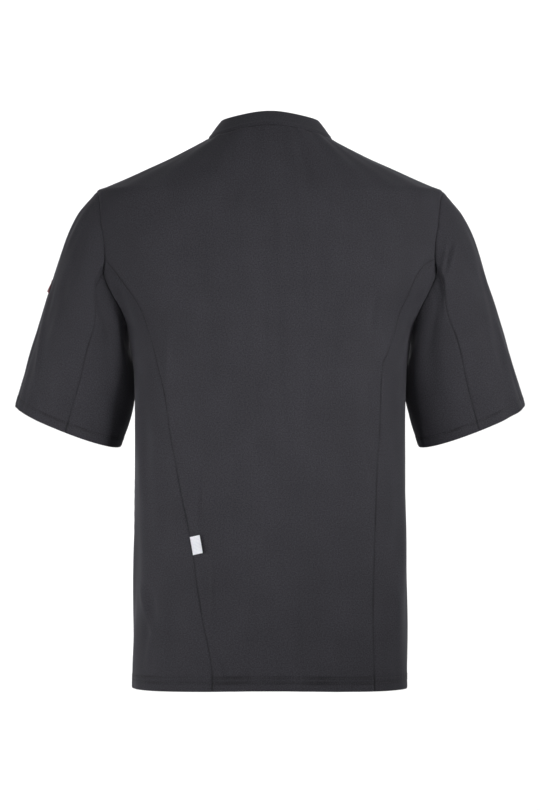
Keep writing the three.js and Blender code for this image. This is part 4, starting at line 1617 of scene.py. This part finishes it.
@dataclass
class BodyPanel(Panel):
    """A piece of the body between four lines.

    Its step is the usual distance between points, its top_step that along the armhole or the neck,
    and seams says whether its last edge, its top and its first edge are sewn to another piece.
    """

    step: float = 3.4
    top_step: float = 2.4
    seams: tuple[bool, bool, bool] = (True, True, True)
    body_radius: float = 160.0
    drape: Drape = Drape(3)

    def edges(self, forms: Forms) -> Edges:
        """Lay out the piece's edges on the forms."""
        raise NotImplementedError

    def lift(self, points: Array) -> Array:
        """How far the piece stands off the body in mm, which is nothing for most."""
        return np.zeros(points.shape[:2])

    def relief(self, grid: ClothGrid) -> Array:
        """Work out the piece's small forms.

        Args:
            grid: The piece before them.

        Returns:
            Heights of its seams, hem, creases and drape.
        """
        total = HEM.height(grid.low, grid.first)
        for off, along in self.sewn(grid):
            total = total + SEAM.height(off, along)
        total = total + creases(BACK_CREASES, grid.points)
        around = self.body_radius * np.arctan2(grid.points[..., 0], grid.points[..., 1])
        return total + self.drape.heights(around, grid.points[..., 2])

    def build(self, forms: Forms) -> tuple[bpy.types.Object, list[bpy.types.Object]]:
        """Make the piece and its hem's stitches.

        Args:
            forms: The forms it lies on.

        Returns:
            The cloth, and a list of what is sewn on it.

        Its places are a Coons patch: the mean of the lines between hem and top and of those between
        first and last edge, less the corners' share, with the top's pull growing as a square.
        """
        edges = self.edges(forms)
        low, high, first, last = edges.low, edges.high, edges.first, edges.last
        u, w = edges.columns[None, :, None], (edges.rows ** 2)[:, None, None]
        across = low[None, :, :2] * (1 - w) + high[None, :, :2] * w
        left = first[:, None, :2] - (low[0, :2] * (1 - w) + high[0, :2] * w)
        right = last[:, None, :2] - (low[-1, :2] * (1 - w) + high[-1, :2] * w)
        place = across + left * (1 - u) + right * u
        angle, side = place[..., 0], place[..., 1]
        normals = forms.body.normal(angle, side)
        ups = self._mitred(forms, normals.copy(), edges)
        points = forms.body.point(angle, side)
        points = points + self.lift(points)[..., None] * ups
        grid = ClothGrid(points, ups, normals)
        grid.push(self.relief(grid))
        return self.sew(grid, self.sewn(grid), points)

    def sewn(self, grid: ClothGrid) -> list[tuple[Array, Array]]:
        """Distances from each sewn edge and along it."""
        sides = ((grid.last, grid.low), (grid.high, grid.first), (grid.first, grid.low))
        return [side for is_seam, side in zip(self.seams, sides) if is_seam]

    def _mitred(self, forms: Forms, ups: Array, edges: Edges) -> Array:
        """Turn the ways out on armholes and neck along their mitres.

        Args:
            forms: The forms the piece lies on.
            ups: Its normals, which are changed.
            edges: Its edges.

        Returns:
            The ways out.
        """
        first_column, last_column, top_row = (slice(None), 0), (slice(None), -1), (-1,)
        for index, edge in ((first_column, edges.first), (last_column, edges.last),
                            (top_row, edges.high)):
            on_hole = np.isfinite(edge[:, 2])
            if on_hole.any():
                hand = Hand.LEFT if edge[on_hole, 0].mean() > 0 else Hand.RIGHT
                ups[index][on_hole] = forms.mitres.armhole(edge[on_hole, 2], hand)
        on_neck = edges.high[:, 3] > 0
        if on_neck.any():
            ups[-1][on_neck] = forms.mitres.neck(edges.high[on_neck, 0])
        return ups


@dataclass
class BackPanel(BodyPanel):
    """The back, from one back seam and armhole to the other."""

    def edges(self, forms: Forms) -> Edges:
        """Lay out the back's edges.

        Args:
            forms: The forms it lies on.

        Returns:
            Hem, both shoulders with the neck, and the left and right seam, each with its armhole.
        """
        seam = {hand: forms.back_seam(hand) for hand in Hand}
        hole = {hand: forms.hole_line(forms.junction, forms.shoulder, hand) for hand in Hand}
        seam_length, hole_length = seam[Hand.LEFT].length, hole[Hand.LEFT].length
        up_seam = spread(seam_length, self.step, True, False)
        up_hole = spread(hole_length, self.step, False, True)
        first, last = (chain([seam[hand].at(up_seam), hole[hand].at(up_hole)]) for hand in Hand)
        v = joined(up_seam, seam_length, up_hole, hole_length)
        shoulder = {hand: forms.shoulder_seam(hand) for hand in Hand}
        neck = forms.ring_line(NECK_Z, SHOULDER_SEAM_ANGLE, -SHOULDER_SEAM_ANGLE, neck=True)
        length = shoulder[Hand.LEFT].length
        over = spread(length, self.step, True, False)
        round_neck = spread(neck.length, self.top_step, False, False)
        high = chain([shoulder[Hand.LEFT].at(over), neck.at(round_neck)])
        high = np.vstack([high, shoulder[Hand.RIGHT].at(over[::-1])[1:]])
        total = 2 * length + neck.length
        u = np.concatenate([over[:-1] * length, length + round_neck * neck.length,
                            total - over[::-1][1:] * length]) / total
        low = forms.ring_line(HEM_Z, first[0, 0], last[0, 0]).at(u)
        return Edges(low, high, first, last, u, v)


@dataclass
class SideBackPanel(BodyPanel):
    """The piece between a back seam and the side seam."""

    top_step: float = 2.6

    def edges(self, forms: Forms) -> Edges:
        """Lay out the side back's edges.

        Args:
            forms: The forms it lies on.

        Returns:
            Hem, the armhole's lower back, the back seam and the side seam.
        """
        seam, side = forms.back_seam(self.hand), forms.side_seam(self.hand)
        hole = forms.hole_line(forms.junction, forms.underarm, self.hand)
        v = spread((seam.length + side.length) / 2, self.step)
        u = spread(hole.length, self.top_step)
        first, last, high = seam.at(v), side.at(v), hole.at(u)
        low = forms.ring_line(HEM_Z, first[0, 0], last[0, 0]).at(u)
        return Edges(low, high, first, last, u, v)


@dataclass
class FrontPanel(BodyPanel):
    """A front, from the side seam and armhole to its free edge past the middle.

    Its points lie further apart than the back's, by side_share up the side seam and by hole_share
    elsewhere. The outer front stands clear of the inner one, and settles onto the body between the
    two distances from the middle in fade.
    """

    top_step: float = 2.8
    seams: tuple[bool, bool, bool] = (False, True, True)
    side_share: float = 1.5
    hole_share: float = 1.3
    fade: tuple[float, float] = (26.0, 58.0)
    clear: float = 1.2

    def edges(self, forms: Forms) -> Edges:
        """Lay out the front's edges.

        Args:
            forms: The forms it lies on.

        Returns:
            Hem, shoulder with neck, the side seam with the armhole's front, and the free edge.
        """
        side = forms.side_seam(self.hand)
        hole = forms.hole_line(forms.underarm, forms.shoulder + FULL_TURN, self.hand)
        up_side = spread(side.length, self.step * self.side_share, True, False)
        up_hole = spread(hole.length, self.step * self.hole_share, False, True)
        first = chain([side.at(up_side), hole.at(up_hole)])
        v = joined(up_side, side.length, up_hole, hole.length)
        last = forms.front_edge(self.hand).at(v)
        shoulder = forms.shoulder_seam(self.hand)
        sign = self.hand.value
        neck = forms.ring_line(NECK_Z, sign * SHOULDER_SEAM_ANGLE,
                               sign * (math.pi + NECK_LAP_ANGLE), neck=True)
        over = spread(shoulder.length, self.step * self.hole_share, True, False)
        round_neck = spread(neck.length, self.top_step, False, True)
        high = chain([shoulder.at(over), neck.at(round_neck)])
        u = joined(over, shoulder.length, round_neck, neck.length)
        low = forms.ring_line(HEM_Z, first[0, 0], last[0, 0]).at(u)
        return Edges(low, high, first, last, u, v)

    def lift(self, points: Array) -> Array:
        """How far a front stands off the body.

        Args:
            points: Its points.

        Returns:
            Nothing for the inner front. The outer one's is full at the lap and fades away from it.
        """
        if self.hand is Hand.RIGHT:
            return np.zeros(points.shape[:2])
        share = 1 - smooth((points[..., 0] - self.fade[0]) / (self.fade[1] - self.fade[0]))
        return share * (CLOTH + self.clear)


@dataclass
class SleevePart(Panel):
    """The upper or under part of a sleeve.

    Over_top is for the upper part. Radius and length are the sleeve's rough ones, by which its drape
    is laid out. The drape fades out within fade mm of the armhole, and the back seam sways by wobble
    degrees besides its bow.
    """

    TURNED_EDGE, EDGE_NAME = CUFF, "cuff"
    ROUGH_LENGTHS = {True: 300.0, False: 200.0}

    over_top: bool
    step: float = 2.0
    radius: float = 62.0
    length: float = 270.0
    fade: float = 25.0
    wobble: float = 0.7

    def build(self, forms: Forms) -> tuple[bpy.types.Object, list[bpy.types.Object]]:
        """Make the part and its cuff's stitches.

        Args:
            forms: The forms it lies on.

        Returns:
            The cloth, and a list of what is sewn on it.

        A column keeps its share of the way from the back seam to the front one, and a row its share
        of the length from cuff to armhole.
        """
        sleeve, back = forms.sleeves[self.hand], FULL_TURN if self.over_top else 0
        start, end = forms.sleeve_seam, FRONT_SLEEVE_SEAM - back
        around = forms.hole_line(start, end, self.hand)
        u, v = spread(around.length, self.step), spread(self.ROUGH_LENGTHS[self.over_top], self.step)
        turns = around.at(u)[:, 2]
        share = ((turns - start) / (end - start))[None, :]
        down = (1 - v)[:, None] * np.ones_like(share)
        at_cuff = blend(sleeve.BACK_SEAM_AT_CUFF[self.hand], sleeve.FRONT_SEAM_AT_CUFF - back, share)
        turn = turns[None, :] * (1 - down) + at_cuff * down
        bow, waver = np.sin(np.pi * down), np.sin(5 * np.pi * down)
        sway = sleeve.BACK_SEAM_BOW[self.hand] * bow + self.wobble * waver
        turn = turn - sway * bow * (1 - share)
        normals = sleeve.normal(turn, down)
        ups = normals.copy()
        ups[-1] = forms.mitres.armhole(turns, self.hand)
        grid = ClothGrid(sleeve.point(turn, down), ups, normals)
        sewn = ((grid.high, grid.first), (grid.first, grid.low), (grid.last, grid.low))
        relief = CUFF.height(grid.low, grid.first)
        relief += sum(SEAM.height(off, along) for off, along in sewn)
        drape = Drape(5 + self.hand.value, across=(20, 60), along=(60, 240))
        angle = np.radians(turn)
        wave = drape.heights(self.radius * (np.sin(angle) + angle / 2), self.length * down)
        relief += wave * smooth(grid.high / self.fade) + creases(SLEEVE_CREASES, grid.points)
        grid.push(relief)
        return self.sew(grid, sewn, grid.points)


@dataclass
class Collar:
    """The stand collar, one band whose ends meet at the middle front.

    Its free edges are rounded by edge over edge_width. Radius is the rough one at the end gap.
    """

    node: str = "collar"
    cut: Cut = Cut(0.44, 0.055, 0.0143)
    end_gap: float = 3.0
    radius: float = 62.0
    height: float = 31.0
    step: float = 1.5
    columns: int = 320
    edge: float = 0.7
    edge_width: float = 1.1
    seam: SeamRelief = SeamRelief(depth=0.6, ridge=0.55, ridge_off=6.0, ridge_width=2.2, pucker=0.06)

    def dress(self, forms: Forms, finishes: Finishes) -> bpy.types.Object:
        """Args:
            forms: The forms it lies on.
            finishes: All the finishes.

        Returns:
            The band.
        """
        end = math.pi - self.end_gap / 2 / self.radius
        angles = np.linspace(end, -end, self.columns)[None, :]
        up = spread(self.height, self.step)[:, None]
        normals = forms.collar.normal(angles, up)
        ups = normals.copy()
        ups[0] = forms.mitres.neck(angles[0])
        grid = ClothGrid(forms.collar.point(angles, up), ups, normals)
        free = np.minimum(np.minimum(grid.high, grid.first), grid.last)
        edge = -self.edge * np.exp(-(free / self.edge_width) ** 2)
        grid.push(edge + self.seam.height(grid.low, grid.first))
        # Shade painted into the groove of the neck seam.
        shade = self.seam.shade(grid.low, grid.first)
        band = shell(f"{self.node}_cloth", grid, COLLAR_CLOTH, shade, True)
        return declare(band, self.node, finishes.cloth, [], finishes)


@dataclass
class StudRow:
    """Press stud caps down the middle of the outer front.

    Top and bottom are the ring heights of the first and the last, and foot is how far their backs
    stand off the body's surface. The profile has shares of a cap's radius and height.
    """

    PROFILE = np.array([
        (0.02, 0.0), (0.96, 0.0), (1.0, 0.18), (0.99, 0.5), (0.94, 0.8), (0.86, 0.97),
        (0.76, 1.0), (0.66, 0.92), (0.5, 0.84), (0.25, 0.8), (0.02, 0.79)])

    count: int = 7
    top: float = -116.0
    bottom: float = -655.0
    radius: float = 6.2
    height: float = 2.2
    foot: float = 2.65
    segments: int = 40

    def dress(self, forms: Forms, finishes: Finishes) -> bpy.types.Object:
        """Build the caps by turning a profile with a rolled rim and a shallow dish, and dress them.

        Args:
            forms: The forms they stand on.
            finishes: All the finishes.

        Returns:
            All the caps as one object.
        """
        sides = np.linspace(self.top, self.bottom, self.count)
        front = np.full_like(sides, math.pi)
        base, out = forms.body.point(front, sides), forms.body.normal(front, sides)
        phi = 2 * np.pi * np.arange(self.segments) / self.segments
        across = unit(np.cross(out, np.array([0.0, 0.0, 1.0])))
        upright = np.cross(across, out)
        radius = (self.PROFILE[:, 0] * self.radius)[:, None]
        high = (self.PROFILE[:, 1] * self.height + self.foot)[:, None] * np.ones(self.segments)
        points = copies(base, (
            (across, radius * np.cos(phi)), (upright, radius * np.sin(phi)), (out, high)))
        rings = len(self.PROFILE)
        faces = repeated(tube_faces(rings, self.segments), self.count, rings * self.segments)
        caps = add_mesh("stud_caps", points, faces)
        close_ends(caps)
        caps.data.materials.append(finishes.stud)
        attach(caps, BODY)
        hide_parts(*(f"stud_{k + 1}" for k in range(self.count)))
        LOG.info("stud_caps: %d caps", self.count)
        return caps


def close_ends(thing: bpy.types.Object) -> None:
    """Close the small holes at the poles of turned pieces and point all the faces out.

    Args:
        thing: The object with the pieces.
    """
    work = bmesh.new()
    work.from_mesh(thing.data)
    bmesh.ops.holes_fill(work, edges=[edge for edge in work.edges if edge.is_boundary], sides=0)
    bmesh.ops.recalc_face_normals(work, faces=work.faces)
    work.to_mesh(thing.data)
    work.free()


@dataclass
class Tag:
    """A small tag of tape that is sewn by one edge and stands a little off at the other.

    Its back lies clear of the cloth by clear at the sewn edge, and by rise more at the free one.
    """

    node: str
    slot: str
    length: float
    width: float
    thickness: float
    clear: float
    rise: float
    ripple: float = 0.12
    columns: int = 26
    rows: int = 40

    def base(self, forms: Forms, across: Array, along: Array) -> tuple[Array, Array]:
        """Points and normals of the surface beneath, at distances across and along the tag."""
        raise NotImplementedError

    def stand_off(self, across: Array, along: Array) -> Array:
        """Share of the rise at shares of the width and length."""
        raise NotImplementedError

    def make(self, forms: Forms) -> bpy.types.Object:
        """Build the tag.

        Args:
            forms: The forms it lies on.

        Returns:
            A closed wall with a faint ripple, a sine wave that grows with the stand-off.
        """
        u, v = np.meshgrid(np.linspace(0, 1, self.columns), np.linspace(0, 1, self.rows))
        points, normals = self.base(forms, u * self.width, (v - 0.5) * self.length)
        off = self.clear + self.thickness + self.rise * smooth(self.stand_off(u, v))
        ripple = self.ripple * np.sin(5 * v + 2 * u) * self.stand_off(u, v)
        grid = ClothGrid(points + (off + ripple)[..., None] * normals, normals, normals)
        return shell(f"{self.node}_tape", grid, self.thickness)

    def dress(self, forms: Forms, finish: bpy.types.Material) -> bpy.types.Object:
        """Args:
            forms: The forms it lies on.
            finish: Its material.

        Returns:
            The tag.
        """
        tape = self.make(forms)
        tape.data.materials.append(finish)
        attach(tape, BODY)
        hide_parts(self.node)
        LOG.info("%s: bare tape", tape.name)
        return tape


@dataclass
class SeamTag(Tag):
    """The white tag, which leaves the left back seam towards the middle.

    Middle is the ring height of its middle, and tilt how far it climbs for each mm from the seam.
    """

    middle: float = -540.0
    tilt: float = 0.2

    def base(self, forms: Forms, across: Array, along: Array) -> tuple[Array, Array]:
        """Find the back beside the seam.

        Args:
            forms: The forms it lies on.
            across: Distances from the seam.
            along: Distances up from the tag's middle.

        Returns:
            The points and normals there.
        """
        side = self.middle + along + self.tilt * across
        out = forms.body.BACK_SEAMS[Hand.LEFT].read("out", side - self.tilt * across) - across
        angle = forms.body.angle_at(out, side, Face.BACK)
        return forms.body.point(angle, side), forms.body.normal(angle, side)

    def stand_off(self, across: Array, along: Array) -> Array:
        """Grows away from the seam."""
        return across


@dataclass
class SleeveTab(Tag):
    """The red tab, sewn by its upper edge across the left sleeve's outer line.

    Down is its middle's share of the way to the cuff, turn the degrees at its top's front corner, and
    lean how many degrees further back its lower edge lies. Its back edge stands off less by the share
    held.
    """

    down: float = 0.455
    turn: float = -9.0
    lean: float = 13.0
    held: float = 0.75

    def base(self, forms: Forms, across: Array, along: Array) -> tuple[Array, Array]:
        """Find the sleeve beneath.

        Args:
            forms: The forms it lies on.
            across: Distances towards the back from the tab's front edge.
            along: Distances down from its middle.

        Returns:
            The points and normals there.
        """
        sleeve = forms.sleeves[Hand.LEFT]
        ends = sleeve.point(np.zeros(2), np.array([0.0, 1.0]))
        down = self.down + along / np.linalg.norm(ends[1] - ends[0])
        turn = self.turn + self.lean * (0.5 + along / self.length)
        turn = turn + np.degrees(across / sleeve.RINGS.read("back", down))
        return sleeve.point(turn, down), sleeve.normal(turn, down)

    def stand_off(self, across: Array, along: Array) -> Array:
        """Grows down the sleeve, most at the front edge, so that its outside turns to the back."""
        return along * (1 - self.held * across)


@dataclass(frozen=True)
class Lamp:
    """A square soft light, in metres and watts, that faces its target.

    Its spread is how wide a grid over it lets the light out, in degrees.
    """

    name: str
    place: tuple[float, float, float]
    target: tuple[float, float, float]
    size: float
    power: float
    spread: float = 180.0

    def add(self) -> None:
        """Put the light in the scene."""
        lamp = bpy.data.lights.new(self.name, "AREA")
        lamp.size, lamp.energy, lamp.spread = self.size, self.power, math.radians(self.spread)
        thing = bpy.data.objects.new(self.name, lamp)
        thing.location = self.place
        way = Vector(self.target) - Vector(self.place)
        thing.rotation_euler = way.to_track_quat("-Z", "Y").to_euler()
        bpy.context.scene.collection.objects.link(thing)


@dataclass
class Studio:
    """A white cove lit by its own lamp, soft lights and a level camera behind the jacket.

    The camera stands at distance and height, and pixel is the width of one at the jacket's middle.
    The cove runs from near over the floor to the wall and up to top, its corner a quarter circle of
    radius cove. All are in metres. Room is the strength of the even light all round.
    """

    IMAGE_HEIGHT, SENSOR_HEIGHT, CLIP_END = 810, 36, 100
    COVE_STEPS, COVE_COLUMNS = 25, 9

    distance: float = 4.6
    height: float = -0.355
    pixel: float = 0.00134
    floor: float = -1.55
    near: float = 6.0
    wall: float = -7.7
    top: float = 6.0
    cove: float = 1.5
    half_width: float = 6.0
    room: float = 0.15
    lamps: tuple[Lamp, ...] = (
        Lamp("cove_lamp", (0, -4.3, 3.0), (0, -7.7, -0.4), 3.0, 225),
        Lamp("left_wide", (2.6, 2.6, 0.1), (0, 0, -0.25), 1.6, 29),
        Lamp("right_side", (-3.2, 1.5, -0.1), (0, 0, -0.3), 1.2, 2, 60),
        Lamp("left_grid", (1.8, 2.2, 0.0), (0.14, 0, -0.4), 0.8, 0.3, 16),
        Lamp("right_grid", (-2.2, 1.8, 0.1), (-0.08, 0, -0.26), 0.8, 1.3, 22),
        Lamp("back_grid", (0.0, 3.4, -0.2), (0.0, 0, -0.2), 0.8, 0.1, 16),
        Lamp("low_grid", (3.2, 1.2, -0.8), (0.17, 0.03, -0.55), 0.7, 0.42, 12),
        Lamp("left_rim", (2.4, -2.2, 0.7), (0, 0, -0.3), 1.0, 4),
        Lamp("right_rim", (-2.4, -2.2, 0.7), (0, 0, -0.3), 1.0, 4),
    )

    def build(self) -> None:
        """Make the cove, the lights, the room's light and the camera."""
        self._cove()
        for lamp in self.lamps:
            lamp.add()
        world = bpy.data.worlds.new("studio")
        world.use_nodes = True
        light = world.node_tree.nodes["Background"].inputs
        light["Color"].default_value = (1, 1, 1, 1)
        light["Strength"].default_value = self.room
        bpy.context.scene.world = world
        bpy.context.scene.view_settings.view_transform = "Standard"
        self._camera()

    def _camera(self) -> None:
        """Set a level camera whose lens gives the pixel's size at the jacket's middle plane."""
        lens = bpy.data.cameras.new("camera")
        lens.sensor_fit, lens.sensor_height = "VERTICAL", self.SENSOR_HEIGHT
        lens.lens = self.distance / self.pixel * lens.sensor_height / self.IMAGE_HEIGHT
        lens.clip_end = self.CLIP_END
        camera = bpy.data.objects.new("camera", lens)
        camera.location = (0, self.distance, self.height)
        camera.rotation_euler = (math.pi / 2, 0, math.pi)
        bpy.context.scene.collection.objects.link(camera)
        bpy.context.scene.camera = camera

    def _cove(self) -> None:
        """Make a floor that curves up into a wall in front of the jacket.

        Its profile is level, then a quarter circle, then upright, and is carried along X.
        """
        turn = np.linspace(0, np.pi / 2, self.COVE_STEPS)
        y = np.append(self.near, self.wall + self.cove * (1 - np.sin(turn)))
        z = np.append(0.0, self.cove * (1 - np.cos(turn))) + self.floor
        y, z = np.append(y, self.wall), np.append(z, self.top)
        x = np.linspace(-self.half_width, self.half_width, self.COVE_COLUMNS)
        points = np.stack(np.broadcast_arrays(x[None, :], y[:, None], z[:, None]), -1)
        index = np.arange(y.size * x.size).reshape(y.size, x.size)
        faces = np.stack([index[:-1, :-1], index[1:, :-1], index[1:, 1:], index[:-1, 1:]], -1)
        cove = add_mesh("cove", points.reshape(-1, 3) / METRES, faces.reshape(-1, 4)[:, ::-1])
        cove.data.materials.append(PaperFinish().material())


def main() -> None:
    """Build the studio, then the jacket piece by piece."""
    logging.basicConfig(level=logging.INFO, format="%(name)s %(message)s")
    Studio().build()
    forms, finishes = Forms(), Finishes()
    panels = [
        BackPanel("back", Hand.LEFT, Cut(0.52, 0.79, 0.253)),
        SideBackPanel("side_back_left", Hand.LEFT, Cut(0.19, 0.60, 0.0745)),
        SideBackPanel("side_back_right", Hand.RIGHT, Cut(0.14, 0.60, 0.0595)),
        FrontPanel("front_left", Hand.LEFT, Cut(0.31, 0.76, 0.179)),
        FrontPanel("front_right", Hand.RIGHT, Cut(0.31, 0.76, 0.179)),
        SleevePart("sleeve_upper_left", Hand.LEFT, Cut(0.30, 0.34, 0.068), True),
        SleevePart("sleeve_upper_right", Hand.RIGHT, Cut(0.30, 0.34, 0.068), True),
        SleevePart("sleeve_under_left", Hand.LEFT, Cut(0.18, 0.26, 0.033), False),
        SleevePart("sleeve_under_right", Hand.RIGHT, Cut(0.18, 0.26, 0.034), False),
        Collar(),
        StudRow(),
    ]
    for panel in panels:
        panel.dress(forms, finishes)
    SeamTag("seam_tag", "white_tag", 23.4, 13.6, 0.6, 0.9, 3.0).dress(forms, finishes.white)
    SleeveTab("sleeve_tab", "red_tab", 17, 13, 0.6, 0.7, 1.7).dress(forms, finishes.red)


if __name__ == "__main__":
    main()
